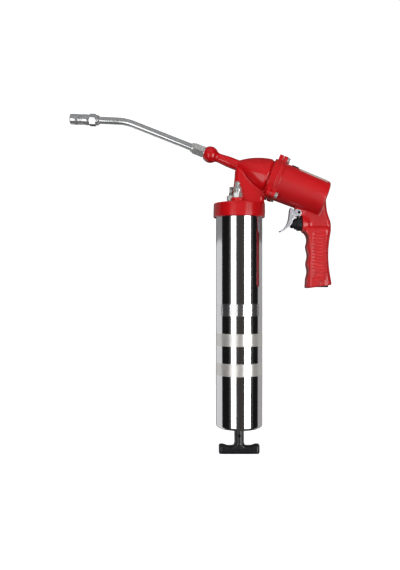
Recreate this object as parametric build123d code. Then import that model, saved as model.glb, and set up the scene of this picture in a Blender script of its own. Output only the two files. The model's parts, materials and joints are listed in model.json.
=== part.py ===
from build123d import *
from math import atan2, cos, degrees, pi, radians, sin, sqrt
import os

# Air-operated pistol-grip grease gun, in millimetres.
# The origin lies on the barrel's axis at the lower rim of the cap; +Z runs up the barrel and
# +X points to the pistol grip. Three local frames hang from it:
#   pump frame     Z along the pump and air cylinder, from the nose to the rear, X upwards
#   grip frame     the world's axes, with its origin under the cylinder at the grip's front face
#   coupler frame  Z from the coupler's mouth back along the pipe

# ---- Fits and gaps ----
thread_gap = 0.05  # radial, between mating threads drawn as plain cylinders
running_gap = 0.05  # radial, round a shaft, pin or piston
hole_gap = 0.2  # radial, round a screw in its clearance hole
glue_gap = 0.05  # under pieces stuck or sprung on a curved surface
rest_gap = 0.3  # between a moving piece and the stop that it rests against

# ---- Barrel and cap ----
barrel_od = 56.0
barrel_wall = 1.2
barrel_drop = 253.0  # length below the cap's rim
barrel_corner = 4.0  # outer radius of the formed end
thread_length = 13.0  # how far the barrel screws into the cap
thread_height = 0.3  # radius taken off the barrel at its thread
band_width = 15.0  # knurled bands
band_rise = 0.2
band_first = 111.0  # from the cap's rim to the middle of the first band
band_pitch = 35.4
band_count = 3
cap_wall = 3.2  # of the cap past the barrel
cap_draft = 1.4  # degrees
cap_height = 17.3
cap_corner = 1.5
rim_chamfer = 0.8
cap_gasket = 1.0

# ---- Pump and air cylinder ----
pump_height = 62.7  # the pump's axis above the cap's rim, over the barrel's axis
pump_angle = 21.5  # downwards to the rear
nose_station = -45.0  # stations run along the pump's axis from the barrel's axis
ball_radius = 10.0
ball_station = -37.5
neck_radius = 5.7
neck_station = -24.0
tube_radius = 6.6
tube_station = -10.0  # where the tube reaches its full radius
bell_start = -2.0
bell_rim = 37.4
bell_radius = 22.5
bell_sagitta = 2.8
bell_edge = 3.0
bell_groove = 1.2  # length of the groove between the bell and its flange
bell_groove_radius = 21.0
flange_radius = 24.3
flange_thickness = 7.7
flange_gasket = 0.5
ring_length = 4.7
cylinder_radius = 23.5  # at the ring
cylinder_draft = 1.4  # degrees
cylinder_end = 109.2  # station of the closed end
cylinder_edge = 2.5
cylinder_bore = 38.0
end_wall = 5.0
web_gap = 7.0  # from the filler's axis to the web's side
web_front = -8.6  # x of the neck web's front edge at the cap
web_lean = 3.6  # how far that edge leans back up to the tube
web_rear = 31.0
web_corner = 7.0

# ---- Screwed joint of head and cylinder ----
lug_circle = 27.6  # radius of the screws' circle
lug_radius = 4.2
lug_length = 5.0  # on each of the two castings
lug_angles = (0.0, 136.0, 224.0)  # from straight up, about the pump's axis
screw_radius = 2.0
screw_head_radius = 3.5
screw_head = 2.6
socket_radius = 1.5
washer_thickness = 0.8

# ---- Pump inside ----
plunger_radius = 3.0
plunger_clear = 4.0  # left in front of the plunger's tip at the end of its stroke
stroke = 28.0
port_radius = 3.0  # grease port from the barrel up to the pump
seat_station = -27.0  # where the pump bore opens into the check chamber
chamber_radius = 5.0
check_ball_radius = 3.5
check_lift = 2.0
check_spring_room = 2.75  # left for the check spring when the ball is lifted
packing_radius = 6.0
packing_station = 12.0
packing_length = 4.0
gland_head_radius = 8.5
gland_head = 4.0
bell_floor = 20.0  # station of the bell's inner floor
bell_wall = 4.2
piston_length = 9.9
piston_nut_flats = 10.0
piston_nut = 3.5
seal_width = 2.6
seal_depth = 2.0
spring_wire = 2.0  # side of the return spring's square wire
spring_radius = 12.5
spring_turns = 7

# ---- Follower ----
rod_radius = 4.0
rod_top = -12.0  # top of the rod at rest
rod_end = 1.0  # rod standing above its nut
follower_travel = 200.0
plate_radius = 24.0
plate_thickness = 1.6
cup_height = 9.0
cup_wall = 2.0
rod_nut_flats = 13.0
rod_nut = 5.0
follower_wire = 2.2
follower_spring_radius = 21.0
bushing_flange_radius = 9.0
bushing_flange = 2.0

# ---- T-handle ----
stem_radius = 5.9
stem_length = 22.0
stem_groove = 1.2
bar_width = 49.4
bar_height = 10.0
bar_depth = 12.0
bar_flare = 1.8
bar_corner = 2.5
stem_flare = 3.0  # radius where the stem meets the bar
handle_pin_radius = 1.5

# ---- Nipple and bleeder valve on the cap ----
filler_x = -2.7
filler_inset = 10.5  # from the barrel's outside
pad_radius = 8.4
pad_height = 4.6
filler_hex = 10.0
filler_hex_height = 6.3
filler_neck = 3.0  # radius
filler_body = 5.0  # radius of the bulge above the hexagon
filler_waist = 4.2  # radius below the bulge
filler_height = 19.6  # above its pad
filler_head = 3.3  # radius of the nipple's head
filler_bore = 1.5
bleeder_x = -8.7
bleeder_inset = 11.5  # from the barrel's outside
bleeder_pad = 3.0
bleeder_hex = 10.0
bleeder_height = 8.3
bleeder_pin_radius = 2.0
bleeder_cap_radius = 2.4
bleeder_rise = 11.1  # the pin's cap above the body
bleeder_travel = 2.5
bleeder_seal = 1.0

# ---- Outlet, pipe and coupler ----
adapter_hex = 13.0
adapter_hex_length = 12.8
adapter_collar = 3.4
adapter_collar_radius = 5.8
outlet_seal = 1.0
outlet_seal_rim = 1.2  # radial width of the seal's face
pipe_radius = 4.25
pipe_bore = 2.0
pipe_engagement = 11.0
bend_station = -147.2
bend_radius = 62.0
pipe_slope = 2.4  # degrees, of the pipe's last stretch, rising to the coupler
pipe_end = 67.5  # from the bend's corner to the coupler's mouth
coupler_radius = 6.4
coupler_length = 35.6
sleeve_length = 15.1
sleeve_groove = 5.3
groove_depth = 0.25
coupler_barrel = 8.5
coupler_hex = 13.2
coupler_hex_length = 7.9
mouth_radius = 4.0
mouth_length = 2.5
jaw_radius = 3.4
jaw_length = 6.0
jaw_travel = 1.2
jaw_count = 3
jaw_slit = 0.6
coupler_cavity = 4.9  # radius

# ---- Grip, valve and trigger, in the grip frame ----
grip_station = 90.3  # station above the grip's front face
grip_width = 26.0
grip_web = 15.0  # width of the web above the palm
palm_top = -23.1
shelf_height = 60.0  # cleared beside the neck above the palm
panel_drop = 4.0  # from the palm's top to the panel
lift_radius = 1.8
lift_length = 26.0  # of the bore up to the cylinder
lift_angle = 50.0  # degrees from upright
lift_start = 0.55  # of the valve stub's length
palm_start = 3.0  # below the ledge, where the front leaves the valve
palm_corner = 7.5
grip_foot = -94.2  # z of the foot at its front
foot_rise = 4.4
foot_edge = 1.2
groove_x = 6.8  # x of the finger grooves
finger_rise = 3.0  # the ridges stand this far in front of the grooves
finger_count = 3
groove_radius = 12.0
ridge_edge = 2.5
finger_top = -35.5
finger_pitch = 19.3
neck_x = 24.4  # x of the grip's back where it meets the closed end
neck_z = 14.4
nape_x = 27.8
nape_z = 6.5
hump_x = 34.5
hump_z = -19.1
waist_x = 31.1
waist_z = -50.0
heel_x = 35.4
panel_left = 10.8
panel_right = 28.6
panel_bottom = -82.5
panel_depth = 0.8
rib_pitch = 3.9
rib_width = 1.4
valve_axis = -16.1
valve_boss = 11.4  # radius of the boss at the valve nut
valve_boss_length = 20.0  # over which it narrows to the web
valve_nut_radius = 8.5
valve_nut = 6.2
valve_collar_radius = 6.8
valve_collar = 3.0
valve_stub_radius = 6.5
valve_stub = 10.0
button_radius = 5.2
button_front = -14.2
button_length = 6.0
valve_travel = 2.31
button_room = 1.4  # left behind the pressed button
stem_pin_radius = 2.0
valve_port = 1.5
poppet_radius = 4.6
valve_chamber = 19.0  # depth from the grip's face
inlet_x = 24.8
inlet_radius = 7.25
inlet_bore = 5.72
inlet_length = 12.0
inlet_proud = 1.4
screen_radius = 6.2
screen_pocket = 2.6  # from the bushing's inner end
screen_thickness = 0.6
inlet_floor = 1.4
air_hole = 3.2
pivot_x = -4.3
pivot_z = -2.6
pin_radius = 1.5
ear_width = 12.0  # of the casting's ear between the trigger's cheeks
trigger_width = 16.0
lever_length = 28.2  # from the grip's face to the trigger's tip
cheek = 1.4
trigger_plate = 1.6
clip_thickness = 0.8
ear_radius = 4.2
arch_radius = 5.7  # of the recess in each side of the foot, over the inlet
arch_height = 8.0
arch_depth = 0.4  # at its middle, where the round boss of the inlet shows

# ---- Trim on the cylinder ----
label_start = 69.4
label_end = 106.0
label_angle = 64.0
label_thickness = 0.5
exhaust_start = 59.6
exhaust_end = 68.0
exhaust_angle = 34.0
exhaust_thickness = 1.2
exhaust_hole = 2.0
slot_pitch = 2.4
slot_length = 8.0
slot_width = 1.0

# ---- Worked out from the sizes above ----
barrel_radius = barrel_od / 2
cap_od = barrel_od + 2 * cap_wall
thread_radius = barrel_radius - thread_height
socket_depth = thread_length + cap_gasket
flange_front = bell_rim + bell_groove
head_face = flange_front + flange_thickness
ring_face = head_face + flange_gasket
ring_end = ring_face + ring_length
bore_radius = cylinder_bore / 2
bore_end = cylinder_end - end_wall
piston_rear = bore_end - rest_gap
piston_front = piston_rear - piston_length
barrel_floor = -barrel_drop + barrel_wall
plunger_tip = seat_station + plunger_clear + stroke
filler_y = filler_inset - barrel_radius
web_width = 2 * (-filler_y - web_gap)
bleeder_y = barrel_radius - bleeder_inset
follower_nut_low = rod_top - rod_end - rod_nut
follower_seat_low = follower_nut_low - 2 * plate_thickness - cup_height
follower_turns = int((follower_seat_low - barrel_floor - follower_travel) / follower_wire)
pump_frame = Plane(
    origin=(0, 0, pump_height),
    x_dir=(sin(radians(pump_angle)), 0, cos(radians(pump_angle))),
    z_dir=(cos(radians(pump_angle)), 0, -sin(radians(pump_angle))),
)


def along_pump(station, height=0.0):
    """The world point at a station of the pump's axis and a height square to it."""
    return pump_frame.from_local_coords(Vector(height, 0, station))


def wall_radius(station):
    """The cylinder's outer radius, less for its draft."""
    return cylinder_radius - (station - ring_end) * sin(radians(cylinder_draft))


grip_corner = along_pump(grip_station, -wall_radius(grip_station))
grip_frame = Pos(grip_corner.X, 0, grip_corner.Z)
bend_corner = along_pump(bend_station)
pipe_direction = Vector(-cos(radians(pipe_slope)), 0, sin(radians(pipe_slope)))
coupler_mouth = bend_corner + pipe_direction * pipe_end
coupler_frame = Plane(origin=coupler_mouth, x_dir=(0, 1, 0), z_dir=-pipe_direction)


# ---- Shapes used by many pieces ----
def turned(*points):
    """A solid turned about Z from (radius, height) corners."""
    return revolve(Plane.XZ * make_face(Polyline(*points, close=True)), Axis.Z)


def ring(outer, inner, low, high):
    """A plain ring, or a disc where inner is 0."""
    return turned((inner, low), (outer, low), (outer, high), (inner, high))


def rod(radius, low, high):
    """A plain round bar along Z."""
    middle = Align.CENTER
    return Pos(0, 0, low) * Cylinder(radius, high - low, align=(middle, middle, Align.MIN))


def hexagon(flats, low, high, turn=0):
    """A hexagon bar along Z, chamfered like a turned one."""
    sketch = RegularPolygon(flats / 2, 6, major_radius=False, rotation=turn)
    corner = flats / sqrt(3)
    flat = flats / 2
    slope = (corner - flat) * 0.6
    bar = Pos(0, 0, low) * extrude(sketch, high - low)
    lower = [(0, low), (flat, low), (corner, low + slope)]
    chamfers = [*lower, (corner, high - slope), (flat, high), (0, high)]
    return bar & turned(*chamfers)


def coil(radius, wire, low, high, turns):
    """A helical spring of square wire between two heights."""
    rise = high - low - wire
    path = Pos(0, 0, low + wire / 2) * Helix(pitch=rise / turns, height=rise, radius=radius)
    start = path @ 0
    section = Plane(origin=start, x_dir=(1, 0, 0), z_dir=path % 0) * Rectangle(wire, wire)
    return sweep(section, path=path, is_frenet=True)


def one(*shapes):
    """Shapes fused into one piece."""
    whole = shapes[0]
    for shape in shapes[1:]:
        whole = whole + shape
    return whole


# ---- Head casting ----
def pump_outline():
    """Half section of the ball end, tube and bell, as (radius, station)."""
    face = sqrt(ball_radius**2 - (ball_station - nose_station) ** 2)
    leave = ball_radius * 0.72
    exit_radius = sqrt(ball_radius**2 - leave**2)
    ball_exit = ball_station + leave
    neck = Spline(
        (exit_radius, ball_exit),
        (neck_radius, neck_station),
        (tube_radius, tube_station),
        tangents=((-0.75, 0.66), (0, 1)),
    )
    edges = [
        Line((0, nose_station), (face, nose_station)),
        ThreePointArc((face, nose_station), (ball_radius, ball_station), (exit_radius, ball_exit)),
        neck,
        Line((tube_radius, tube_station), (tube_radius, bell_start)),
        SagittaArc((tube_radius, bell_start), (bell_radius, bell_rim), -bell_sagitta),
        Line((bell_radius, bell_rim), (0, bell_rim)),
        Line((0, bell_rim), (0, nose_station)),
    ]
    return Face(Wire(edges))


def lugs(low, high):
    """The three screw lugs between two stations."""
    ear = Pos(lug_circle, 0) * Circle(lug_radius)
    root = flange_radius - lug_radius
    ear += Pos((lug_circle + root) / 2, 0) * Rectangle(lug_circle - root, 2 * lug_radius)
    solid = Pos(0, 0, low) * extrude(ear, high - low)
    return [Rot(0, 0, angle) * solid for angle in lug_angles]


def at_lugs(shape):
    """Copies of a shape at the screws, in the pump frame."""
    return [Rot(0, 0, angle) * Pos(lug_circle, 0, 0) * shape for angle in lug_angles]


def neck_web():
    """The web that carries the pump on the cap."""
    crown = along_pump(neck_station + 22, -tube_radius * 0.5)
    middle = (flange_front + head_face) / 2
    rear = along_pump(middle, -flange_radius + 0.5)
    inner = along_pump(middle, 0)
    outline = make_face(
        Polyline(
            (web_front, cap_height - 2),
            (web_front, cap_height + 7),
            (web_front + web_lean * 0.8, pump_height - 17),
            (web_front + web_lean, pump_height - tube_radius),
            (crown.X, crown.Z),
            (inner.X, inner.Z),
            (rear.X, rear.Z),
            (web_rear - 1.0, cap_height + 3),
            (web_rear - 1.0, cap_height - 2),
            close=True,
        )
    )
    web = extrude(Plane.XZ * outline, web_width / 2, both=True)
    reach = web_front + web_lean
    front = [edge for edge in web.edges() if edge.center().X < reach and abs(edge.center().Y) > 1]
    return fillet(front, web_corner)


def head_casting():
    """Cap, neck, pump tube and bell, in one casting."""
    top = cap_od / 2 - cap_height * sin(radians(cap_draft))
    cap = turned((0, 0), (cap_od / 2, 0), (top, cap_height), (0, cap_height))
    cap = chamfer(cap.edges().group_by(Axis.Z)[0], rim_chamfer)
    cap = fillet(cap.edges().group_by(Axis.Z)[-1], cap_corner)
    pump = revolve(Plane.XZ * pump_outline(), Axis.Z)
    bell_edges = pump.edges().filter_by(GeomType.CIRCLE).group_by(Axis.Z)[-1]
    pump = fillet(bell_edges, bell_edge)
    flange = rod(flange_radius, flange_front, head_face)
    groove = rod(bell_groove_radius, bell_rim - bell_edge, flange_front)
    pump = one(pump, groove, flange, *lugs(head_face - lug_length, head_face))
    casting = one(cap, neck_web(), pump_frame * pump)
    casting += Pos(filler_x, filler_y) * rod(pad_radius, cap_height - 1, cap_height + pad_height)
    casting += Pos(bleeder_x, bleeder_y) * rod(pad_radius, cap_height - 1, cap_height + bleeder_pad)
    hollow = turned(
        (0, bell_floor),
        (bell_radius - bell_wall * 1.9, bell_floor),
        (bell_radius - bell_wall, bell_floor + 9),
        (bell_radius - bell_wall, head_face),
        (0, head_face),
    )
    inside = [
        hollow,
        rod(plunger_radius + running_gap, seat_station, bell_floor),
        rod(chamber_radius, nose_station, seat_station),
        rod(packing_radius, packing_station, bell_floor),
        *at_lugs(rod(screw_radius + thread_gap, head_face - lug_length, head_face)),
    ]
    for cut in inside:
        casting -= pump_frame * cut
    casting -= rod(thread_radius + thread_gap, 0, socket_depth)
    casting -= rod(port_radius, 0, pump_height)
    casting -= Pos(filler_x, filler_y) * rod(filler_neck + thread_gap, 0, cap_height + pad_height)
    casting -= Pos(bleeder_x, bleeder_y) * rod(filler_neck + thread_gap, 0, cap_height + bleeder_pad)
    return casting


# ---- Barrel and follower ----
def barrel_tube():
    """The formed steel barrel, with its knurled bands standing proud."""
    shell = one(rod(barrel_radius, -barrel_drop, 0), rod(thread_radius, 0, thread_length))
    shell = fillet(shell.edges().group_by(Axis.Z)[0], barrel_corner)
    inner = rod(barrel_radius - barrel_wall, barrel_floor, thread_length)
    inner = fillet(inner.edges().group_by(Axis.Z)[0], barrel_corner - barrel_wall)
    for index in range(band_count):
        middle = -band_first - index * band_pitch
        shell += rod(barrel_radius + band_rise, middle - band_width / 2, middle + band_width / 2)
    bushing_hole = rod(bushing_sleeve() + thread_gap, -barrel_drop, barrel_floor)
    return shell - inner - bushing_hole


def bushing_sleeve():
    """Outer radius of the rod bushing where it passes the barrel's end."""
    return rod_radius + 2.0


def rod_bushing():
    """Flanged black bushing that guides the rod through the barrel's end."""
    flange_top = barrel_floor + bushing_flange
    bush = one(
        rod(bushing_sleeve(), -barrel_drop, flange_top),
        rod(bushing_flange_radius, barrel_floor, flange_top),
    )
    return bush - rod(rod_radius + running_gap, -barrel_drop, flange_top)


def follower():
    """The follower's pieces on the rod, from the top down."""
    nut_low, seat_low = follower_nut_low, follower_seat_low
    plate_low = nut_low - plate_thickness
    cup_low = plate_low - cup_height
    hole = rod_radius + running_gap
    wall = barrel_radius - barrel_wall - running_gap
    nut = hexagon(rod_nut_flats, nut_low, nut_low + rod_nut)
    nut -= rod(rod_radius + thread_gap, nut_low, rod_top)
    plate = ring(plate_radius, hole, plate_low, nut_low)
    cup = turned(
        (hole, plate_low),
        (plate_radius, plate_low),
        (wall, plate_low + cup_wall),
        (wall, plate_low - cup_height + cup_wall),
        (wall - cup_wall, plate_low - cup_height),
        (wall - cup_wall, plate_low - cup_wall * 1.5),
        (hole + 6, plate_low - cup_wall * 1.5),
        (hole + 6, cup_low),
        (hole, cup_low),
    )
    seat = ring(follower_spring_radius + follower_wire, hole, seat_low, cup_low)
    steel = rod(rod_radius, -barrel_drop - stem_length * 0.9, rod_top) - handle_pin(thread_gap)
    shoulder = ring(rod_radius + 2.0, rod_radius - 0.5, seat_low - 2.0, seat_low)
    spring = coil(follower_spring_radius, follower_wire, barrel_floor, seat_low, follower_turns)
    return {
        "rod_nut": nut,
        "follower_plate": plate,
        "follower_cup": cup,
        "spring_seat": seat,
        "follower_rod": steel + shoulder,
        "follower_spring": spring,
    }


def t_handle():
    """Moulded T-handle: a grooved stem on a bar with flared ends."""
    top = -barrel_drop - rest_gap
    bar_top = top - stem_length
    bottom = bar_top - bar_height
    stem = rod(stem_radius, bar_top - 1, top)
    for side in range(4):
        stem -= Rot(0, 0, 45 + 90 * side) * Pos(stem_radius, 0, 0) * rod(stem_groove, bar_top, top)
    half = bar_width / 2
    horn = half - 2 * bar_corner
    crest = bar_top + bar_flare
    root = stem_radius + stem_flare
    dip = half * 0.55
    right = Spline((horn, crest), (dip, bar_top), (root, bar_top), tangents=((-1, -0.2), (-1, 0)))
    left = Spline((-root, bar_top), (-dip, bar_top), (-horn, crest), tangents=((-1, 0), (-1, 0.2)))
    rise = bar_top + stem_flare
    outline = [
        Line((-half, bottom), (half, bottom)),
        Line((half, bottom), (half, crest)),
        Line((half, crest), (horn, crest)),
        right,
        RadiusArc((root, bar_top), (stem_radius, rise), stem_flare),
        Line((stem_radius, rise), (-stem_radius, rise)),
        RadiusArc((-stem_radius, rise), (-root, bar_top), stem_flare),
        left,
        Line((-horn, crest), (-half, crest)),
        Line((-half, crest), (-half, bottom)),
    ]
    bar = extrude(Plane.XZ * Face(Wire(outline)), bar_depth / 2, both=True)
    ends = bar.edges().filter_by(Axis.Y)
    bar = fillet(ends.group_by(Axis.X)[0] + ends.group_by(Axis.X)[-1], bar_corner)
    handle = bar + stem
    handle -= rod(rod_radius + thread_gap, -barrel_drop - stem_length * 0.9, top)
    handle -= handle_pin(thread_gap)
    return handle


def handle_pin(grow=0.0):
    """Cross pin through the handle's stem and the rod."""
    height = -barrel_drop - stem_length * 0.45
    reach = stem_radius - 0.2
    return Pos(0, 0, height) * Rot(90, 0, 0) * rod(handle_pin_radius + grow, -reach, reach)


# ---- Pump and air motor inside ----
def plunger():
    """Hardened plunger, with the piston's seat and thread at its rear."""
    return rod(plunger_radius, plunger_tip, piston_rear - 0.2)


def air_piston():
    """Air piston with its seal groove and a pocket for the nut."""
    radius = bore_radius - running_gap - 0.03
    solid = rod(radius, piston_front, piston_rear)
    solid = chamfer(solid.edges().group_by(Axis.Z)[-1], 1.0)
    middle = (piston_front + piston_rear) / 2
    solid -= ring(bore_radius + 1, radius - seal_depth, middle - seal_width / 2, middle + seal_width / 2)
    solid -= rod(plunger_radius + thread_gap, piston_front, piston_rear)
    solid -= rod(piston_nut_flats / sqrt(3) + 0.8, piston_rear - piston_nut - 0.4, piston_rear)
    return solid


def piston_seal():
    """Rubber ring in the piston's groove."""
    radius = bore_radius - running_gap - 0.03
    middle = (piston_front + piston_rear) / 2
    half = seal_width / 2 - 0.02
    return ring(bore_radius - running_gap, radius - seal_depth + 0.02, middle - half, middle + half)


def piston_nut_piece():
    """Nut that clamps the piston to the plunger."""
    high = piston_rear - 0.4
    low = high - piston_nut
    return hexagon(piston_nut_flats, low, high) - rod(plunger_radius + thread_gap, low, high)


def packing():
    """Packing ring round the plunger."""
    end = packing_station + packing_length
    return ring(packing_radius - glue_gap, plunger_radius + running_gap, packing_station, end)


def packing_nut():
    """Gland nut that presses the packing."""
    start = packing_station + packing_length
    nut = one(
        rod(packing_radius - thread_gap, start, bell_floor),
        rod(gland_head_radius, bell_floor, bell_floor + gland_head),
    )
    for side in range(2):
        nut -= Rot(0, 0, 180 * side) * Pos(gland_head_radius, 0, bell_floor + gland_head) * Box(4, 3, 3)
    return nut - rod(plunger_radius + running_gap + 0.1, start, bell_floor + gland_head)


def check_ball_station():
    """Station of the check ball's centre on its seat."""
    seat = plunger_radius + running_gap
    return seat_station - sqrt(check_ball_radius**2 - seat**2) - 0.03


def adapter_inner():
    """Station of the adapter's inner end, which carries the check spring."""
    return check_ball_station() - check_ball_radius - check_lift - check_spring_room


# ---- Cylinder and grip casting ----
def grip_outline():
    """Side outline of the grip before the finger grooves are cut."""
    toe = (groove_x - finger_rise, grip_foot)
    heel = (heel_x, grip_foot + foot_rise)
    last = finger_top - 1.5 * finger_pitch
    front = Spline(
        (0, palm_top - palm_start),
        (groove_x - finger_rise, finger_top - finger_pitch / 4),
        (groove_x - finger_rise * 0.6, last),
        toe,
        tangents=((0, -1), (-0.12, -1)),
    )
    bends = [(waist_x, waist_z), (hump_x, hump_z), (nape_x, nape_z), (neck_x, neck_z)]
    back = Spline(heel, *bends, tangents=((-0.2, 1), (-0.5, 1)))
    top = Polyline((neck_x, neck_z), (0, neck_z), (0, palm_top - palm_start))
    return Face(Wire([front, Line(toe, heel), back, *top.edges()]))


def grip_body():
    """The palm with its finger grooves, and the narrower web above it."""
    body = Pos(0, grip_width / 2, 0) * extrude(Plane.XZ * grip_outline(), grip_width)
    tall = foot_rise + 1
    corners = [e for e in body.edges() if abs(e.center().Y) > 1 and e.bounding_box().size.Z > tall]
    body = fillet(corners, palm_corner)
    for index in range(finger_count):
        middle = finger_top - index * finger_pitch
        roller = Cylinder(groove_radius, grip_width + 2)
        body -= Pos(groove_x - groove_radius, 0, middle) * Rot(90, 0, 0) * roller
    lowest = finger_top - (finger_count - 0.4) * finger_pitch
    ridges = [
        edge
        for edge in body.edges()
        if edge.center().X < groove_x + palm_corner / 2
        and lowest < edge.center().Z < finger_top + finger_pitch / 2
        and edge.bounding_box().size.Y > 0.5
        and edge.bounding_box().size.Z < finger_pitch / 2
    ]
    body = fillet(ridges, ridge_edge)
    body = fillet(body.faces().sort_by(Axis.Z)[0].edges(), foot_edge)
    shelf = (grip_width - grip_web) / 2
    for side in (-1, 1):
        middle = side * (grip_web / 2 + shelf)
        body -= Pos(hump_x / 2, middle, palm_top + shelf_height / 2) * Box(3 * hump_x, 2 * shelf, shelf_height)
    return body


def grip_panels():
    """The sunk panel of each side, as the solids to cut away, with its ribs left standing."""
    height = palm_top - panel_drop - panel_bottom
    middle_x = (panel_left + panel_right) / 2
    middle_z = panel_bottom + height / 2
    blank = RectangleRounded(panel_right - panel_left, height, 2.5)
    pocket = extrude(Plane.XZ * blank, grip_width / 2)
    rib = Box(panel_right - panel_left, panel_depth, rib_width)
    count = int((height - 4) / rib_pitch)
    cuts = []
    for side in (-1, 1):
        cut = Pos(middle_x, 0, middle_z) * (pocket if side < 0 else mirror(pocket, Plane.XZ))
        keep = Pos(middle_x, 0, middle_z) * Box(panel_right, grip_width - 2 * panel_depth, height + 2)
        cut -= keep
        for index in range(count):
            offset = (index - (count - 1) / 2) * rib_pitch
            lift = side * (grip_width / 2 - panel_depth)
            cut -= Pos(middle_x, lift, middle_z + offset) * rib
        cuts.append(cut)
    return cuts


def foot_arches():
    """Arched recess over the inlet in both sides, round a boss that stays."""
    top = Pos(inlet_x, foot_at(inlet_x) + arch_height - arch_radius) * Circle(arch_radius)
    low = Pos(inlet_x, foot_at(inlet_x)) * Rectangle(2 * arch_radius, 2 * (arch_height - arch_radius))
    arch = extrude(Plane.XZ * (top + low), grip_width, both=True)
    boss = rod(grip_width / 2 - arch_depth, grip_foot - 1, palm_top)
    return arch - Pos(inlet_x, 0, 0) * boss


def trigger_ear():
    """Ear under the cylinder that carries the trigger's pin."""
    ear = Circle(ear_radius) + Pos(ear_radius, ear_radius) * Rectangle(4 * ear_radius, 2 * ear_radius)
    ear = ear & Rectangle(2 * (ear_radius - pivot_x), 4 * ear_radius)
    solid = extrude(Plane.XZ * ear, ear_width / 2, both=True)
    return Pos(pivot_x, 0, pivot_z) * solid


def along_x(shape, z=0.0):
    """A shape drawn along Z laid along +X of the grip frame at a height."""
    return Pos(0, 0, z) * Rot(0, 90, 0) * shape


def cylinder_and_grip():
    """Air cylinder, ring, lugs and pistol grip, in one casting."""
    shell = turned(
        (0, ring_face),
        (flange_radius, ring_face),
        (flange_radius, ring_end - 0.6),
        (flange_radius - 0.6, ring_end),
        (cylinder_radius, ring_end),
        (wall_radius(cylinder_end), cylinder_end),
        (0, cylinder_end),
    )
    shell = fillet(shell.edges().filter_by(GeomType.CIRCLE).group_by(Axis.Z)[-1], cylinder_edge)
    shell = one(shell, *lugs(ring_face, ring_face + lug_length))
    casting = pump_frame * shell + grip_frame * grip_body()
    boss = Pos(0, 0, valve_boss_length / 2) * Cone(valve_boss, grip_web / 2, valve_boss_length)
    casting += grip_frame * along_x(boss, valve_axis)
    casting += grip_frame * trigger_ear()
    for cut in [*grip_panels(), foot_arches()]:
        casting -= grip_frame * cut
    casting -= pump_frame * rod(bore_radius, ring_face, bore_end)
    for hole in at_lugs(rod(screw_radius + hole_gap, ring_face, ring_face + lug_length)):
        casting -= pump_frame * hole
    vent = Rot(0, 90, 0) * rod(exhaust_hole, 0, cylinder_radius + 1)
    casting -= pump_frame * Pos(0, 0, (exhaust_start + exhaust_end) / 2) * vent
    for cut in air_passages():
        casting -= grip_frame * cut
    return casting


def air_passages():
    """Bores of the grip: valve chamber, inlet, cross hole, lift to the cylinder and pin hole."""
    stub = along_x(rod(valve_stub_radius + thread_gap, 0, valve_chamber), valve_axis)
    cross = along_x(rod(air_hole, 0, inlet_x + air_hole), valve_axis)
    supply = Pos(inlet_x, 0, 0) * rod(air_hole, grip_foot, valve_axis)
    socket = rod(inlet_radius + thread_gap, grip_foot - 1, foot_at(inlet_x) + inlet_length)
    socket = Pos(inlet_x, 0, 0) * socket
    lift = rod(lift_radius, 0, lift_length)
    lift = Pos(valve_stub * lift_start, 0, valve_axis) * Rot(0, lift_angle, 0) * lift
    pin = Pos(pivot_x, 0, pivot_z) * Rot(90, 0, 0) * rod(pin_radius + thread_gap, -ear_width, ear_width)
    return [stub, cross, supply, socket, lift, pin]


def foot_at(x):
    """Height of the grip's foot at x, in the grip frame."""
    toe = groove_x - finger_rise
    return grip_foot + foot_rise * (x - toe) / (heel_x - toe)


# ---- Screws ----
def flange_screws():
    """Socket screws from the cylinder's lugs into the head's."""
    head = ring_face + lug_length + washer_thickness
    tip = head_face - lug_length
    screw = rod(screw_radius, tip, head) + rod(screw_head_radius, head, head + screw_head)
    screw = fillet(screw.edges().group_by(Axis.Z)[-1], 0.6)
    tool = RegularPolygon(socket_radius, 6)
    screw -= Pos(0, 0, head + screw_head * 0.35) * extrude(tool, screw_head)
    return pump_frame * Compound(at_lugs(screw))


def screw_washers():
    """Washers under the screws' heads."""
    low = ring_face + lug_length
    washer = ring(screw_head_radius + 0.3, screw_radius + hole_gap / 2, low, low + washer_thickness)
    return pump_frame * Compound(at_lugs(washer))


# ---- Valve ----
def valve_body():
    """Black valve nut screwed into the grip, with a collar round the button."""
    front = -valve_nut - valve_collar
    body = one(
        rod(valve_nut_radius, -valve_nut, -0.02),
        rod(valve_collar_radius, front, -valve_nut),
        rod(valve_stub_radius, -0.02, valve_stub),
    )
    body = chamfer(body.edges().filter_by(GeomType.CIRCLE).group_by(Axis.Z)[0], 0.5)
    floor = button_front + button_length + valve_travel + button_room
    body -= rod(button_radius + running_gap, front, floor)
    body -= rod(stem_pin_radius + running_gap, front, valve_stub)
    body -= rod(air_hole, floor + 5, valve_stub)
    port = Rot(90, 0, 0) * rod(valve_port, -valve_stub_radius - 1, valve_stub_radius + 1)
    body -= Pos(0, 0, valve_stub * 0.55) * port
    return grip_frame * along_x(body, valve_axis)


def poppet_station():
    """Where the poppet seal rests against the valve body."""
    return valve_stub + 0.05


def valve_pieces():
    """Button, stem with its poppet disc, seal ring and spring."""
    button = rod(button_radius, button_front, button_front + button_length)
    button = fillet(button.edges().group_by(Axis.Z)[0], 1.6)
    button -= rod(stem_pin_radius + thread_gap, button_front + 2, button_front + button_length)
    disc = poppet_station() + 1.0
    stem = one(rod(stem_pin_radius, button_front + 2, disc), rod(poppet_radius, disc, disc + 1.6))
    stem += rod(stem_pin_radius, disc, disc + 3.0)
    seal = ring(poppet_radius, stem_pin_radius + thread_gap, poppet_station(), disc)
    spring = coil(3.2, 0.8, disc + 1.6, valve_chamber, 3)
    shapes = {"valve_button": button, "valve_stem": stem, "poppet_seal": seal, "valve_spring": spring}
    return {name: grip_frame * along_x(shape, valve_axis) for name, shape in shapes.items()}


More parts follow.
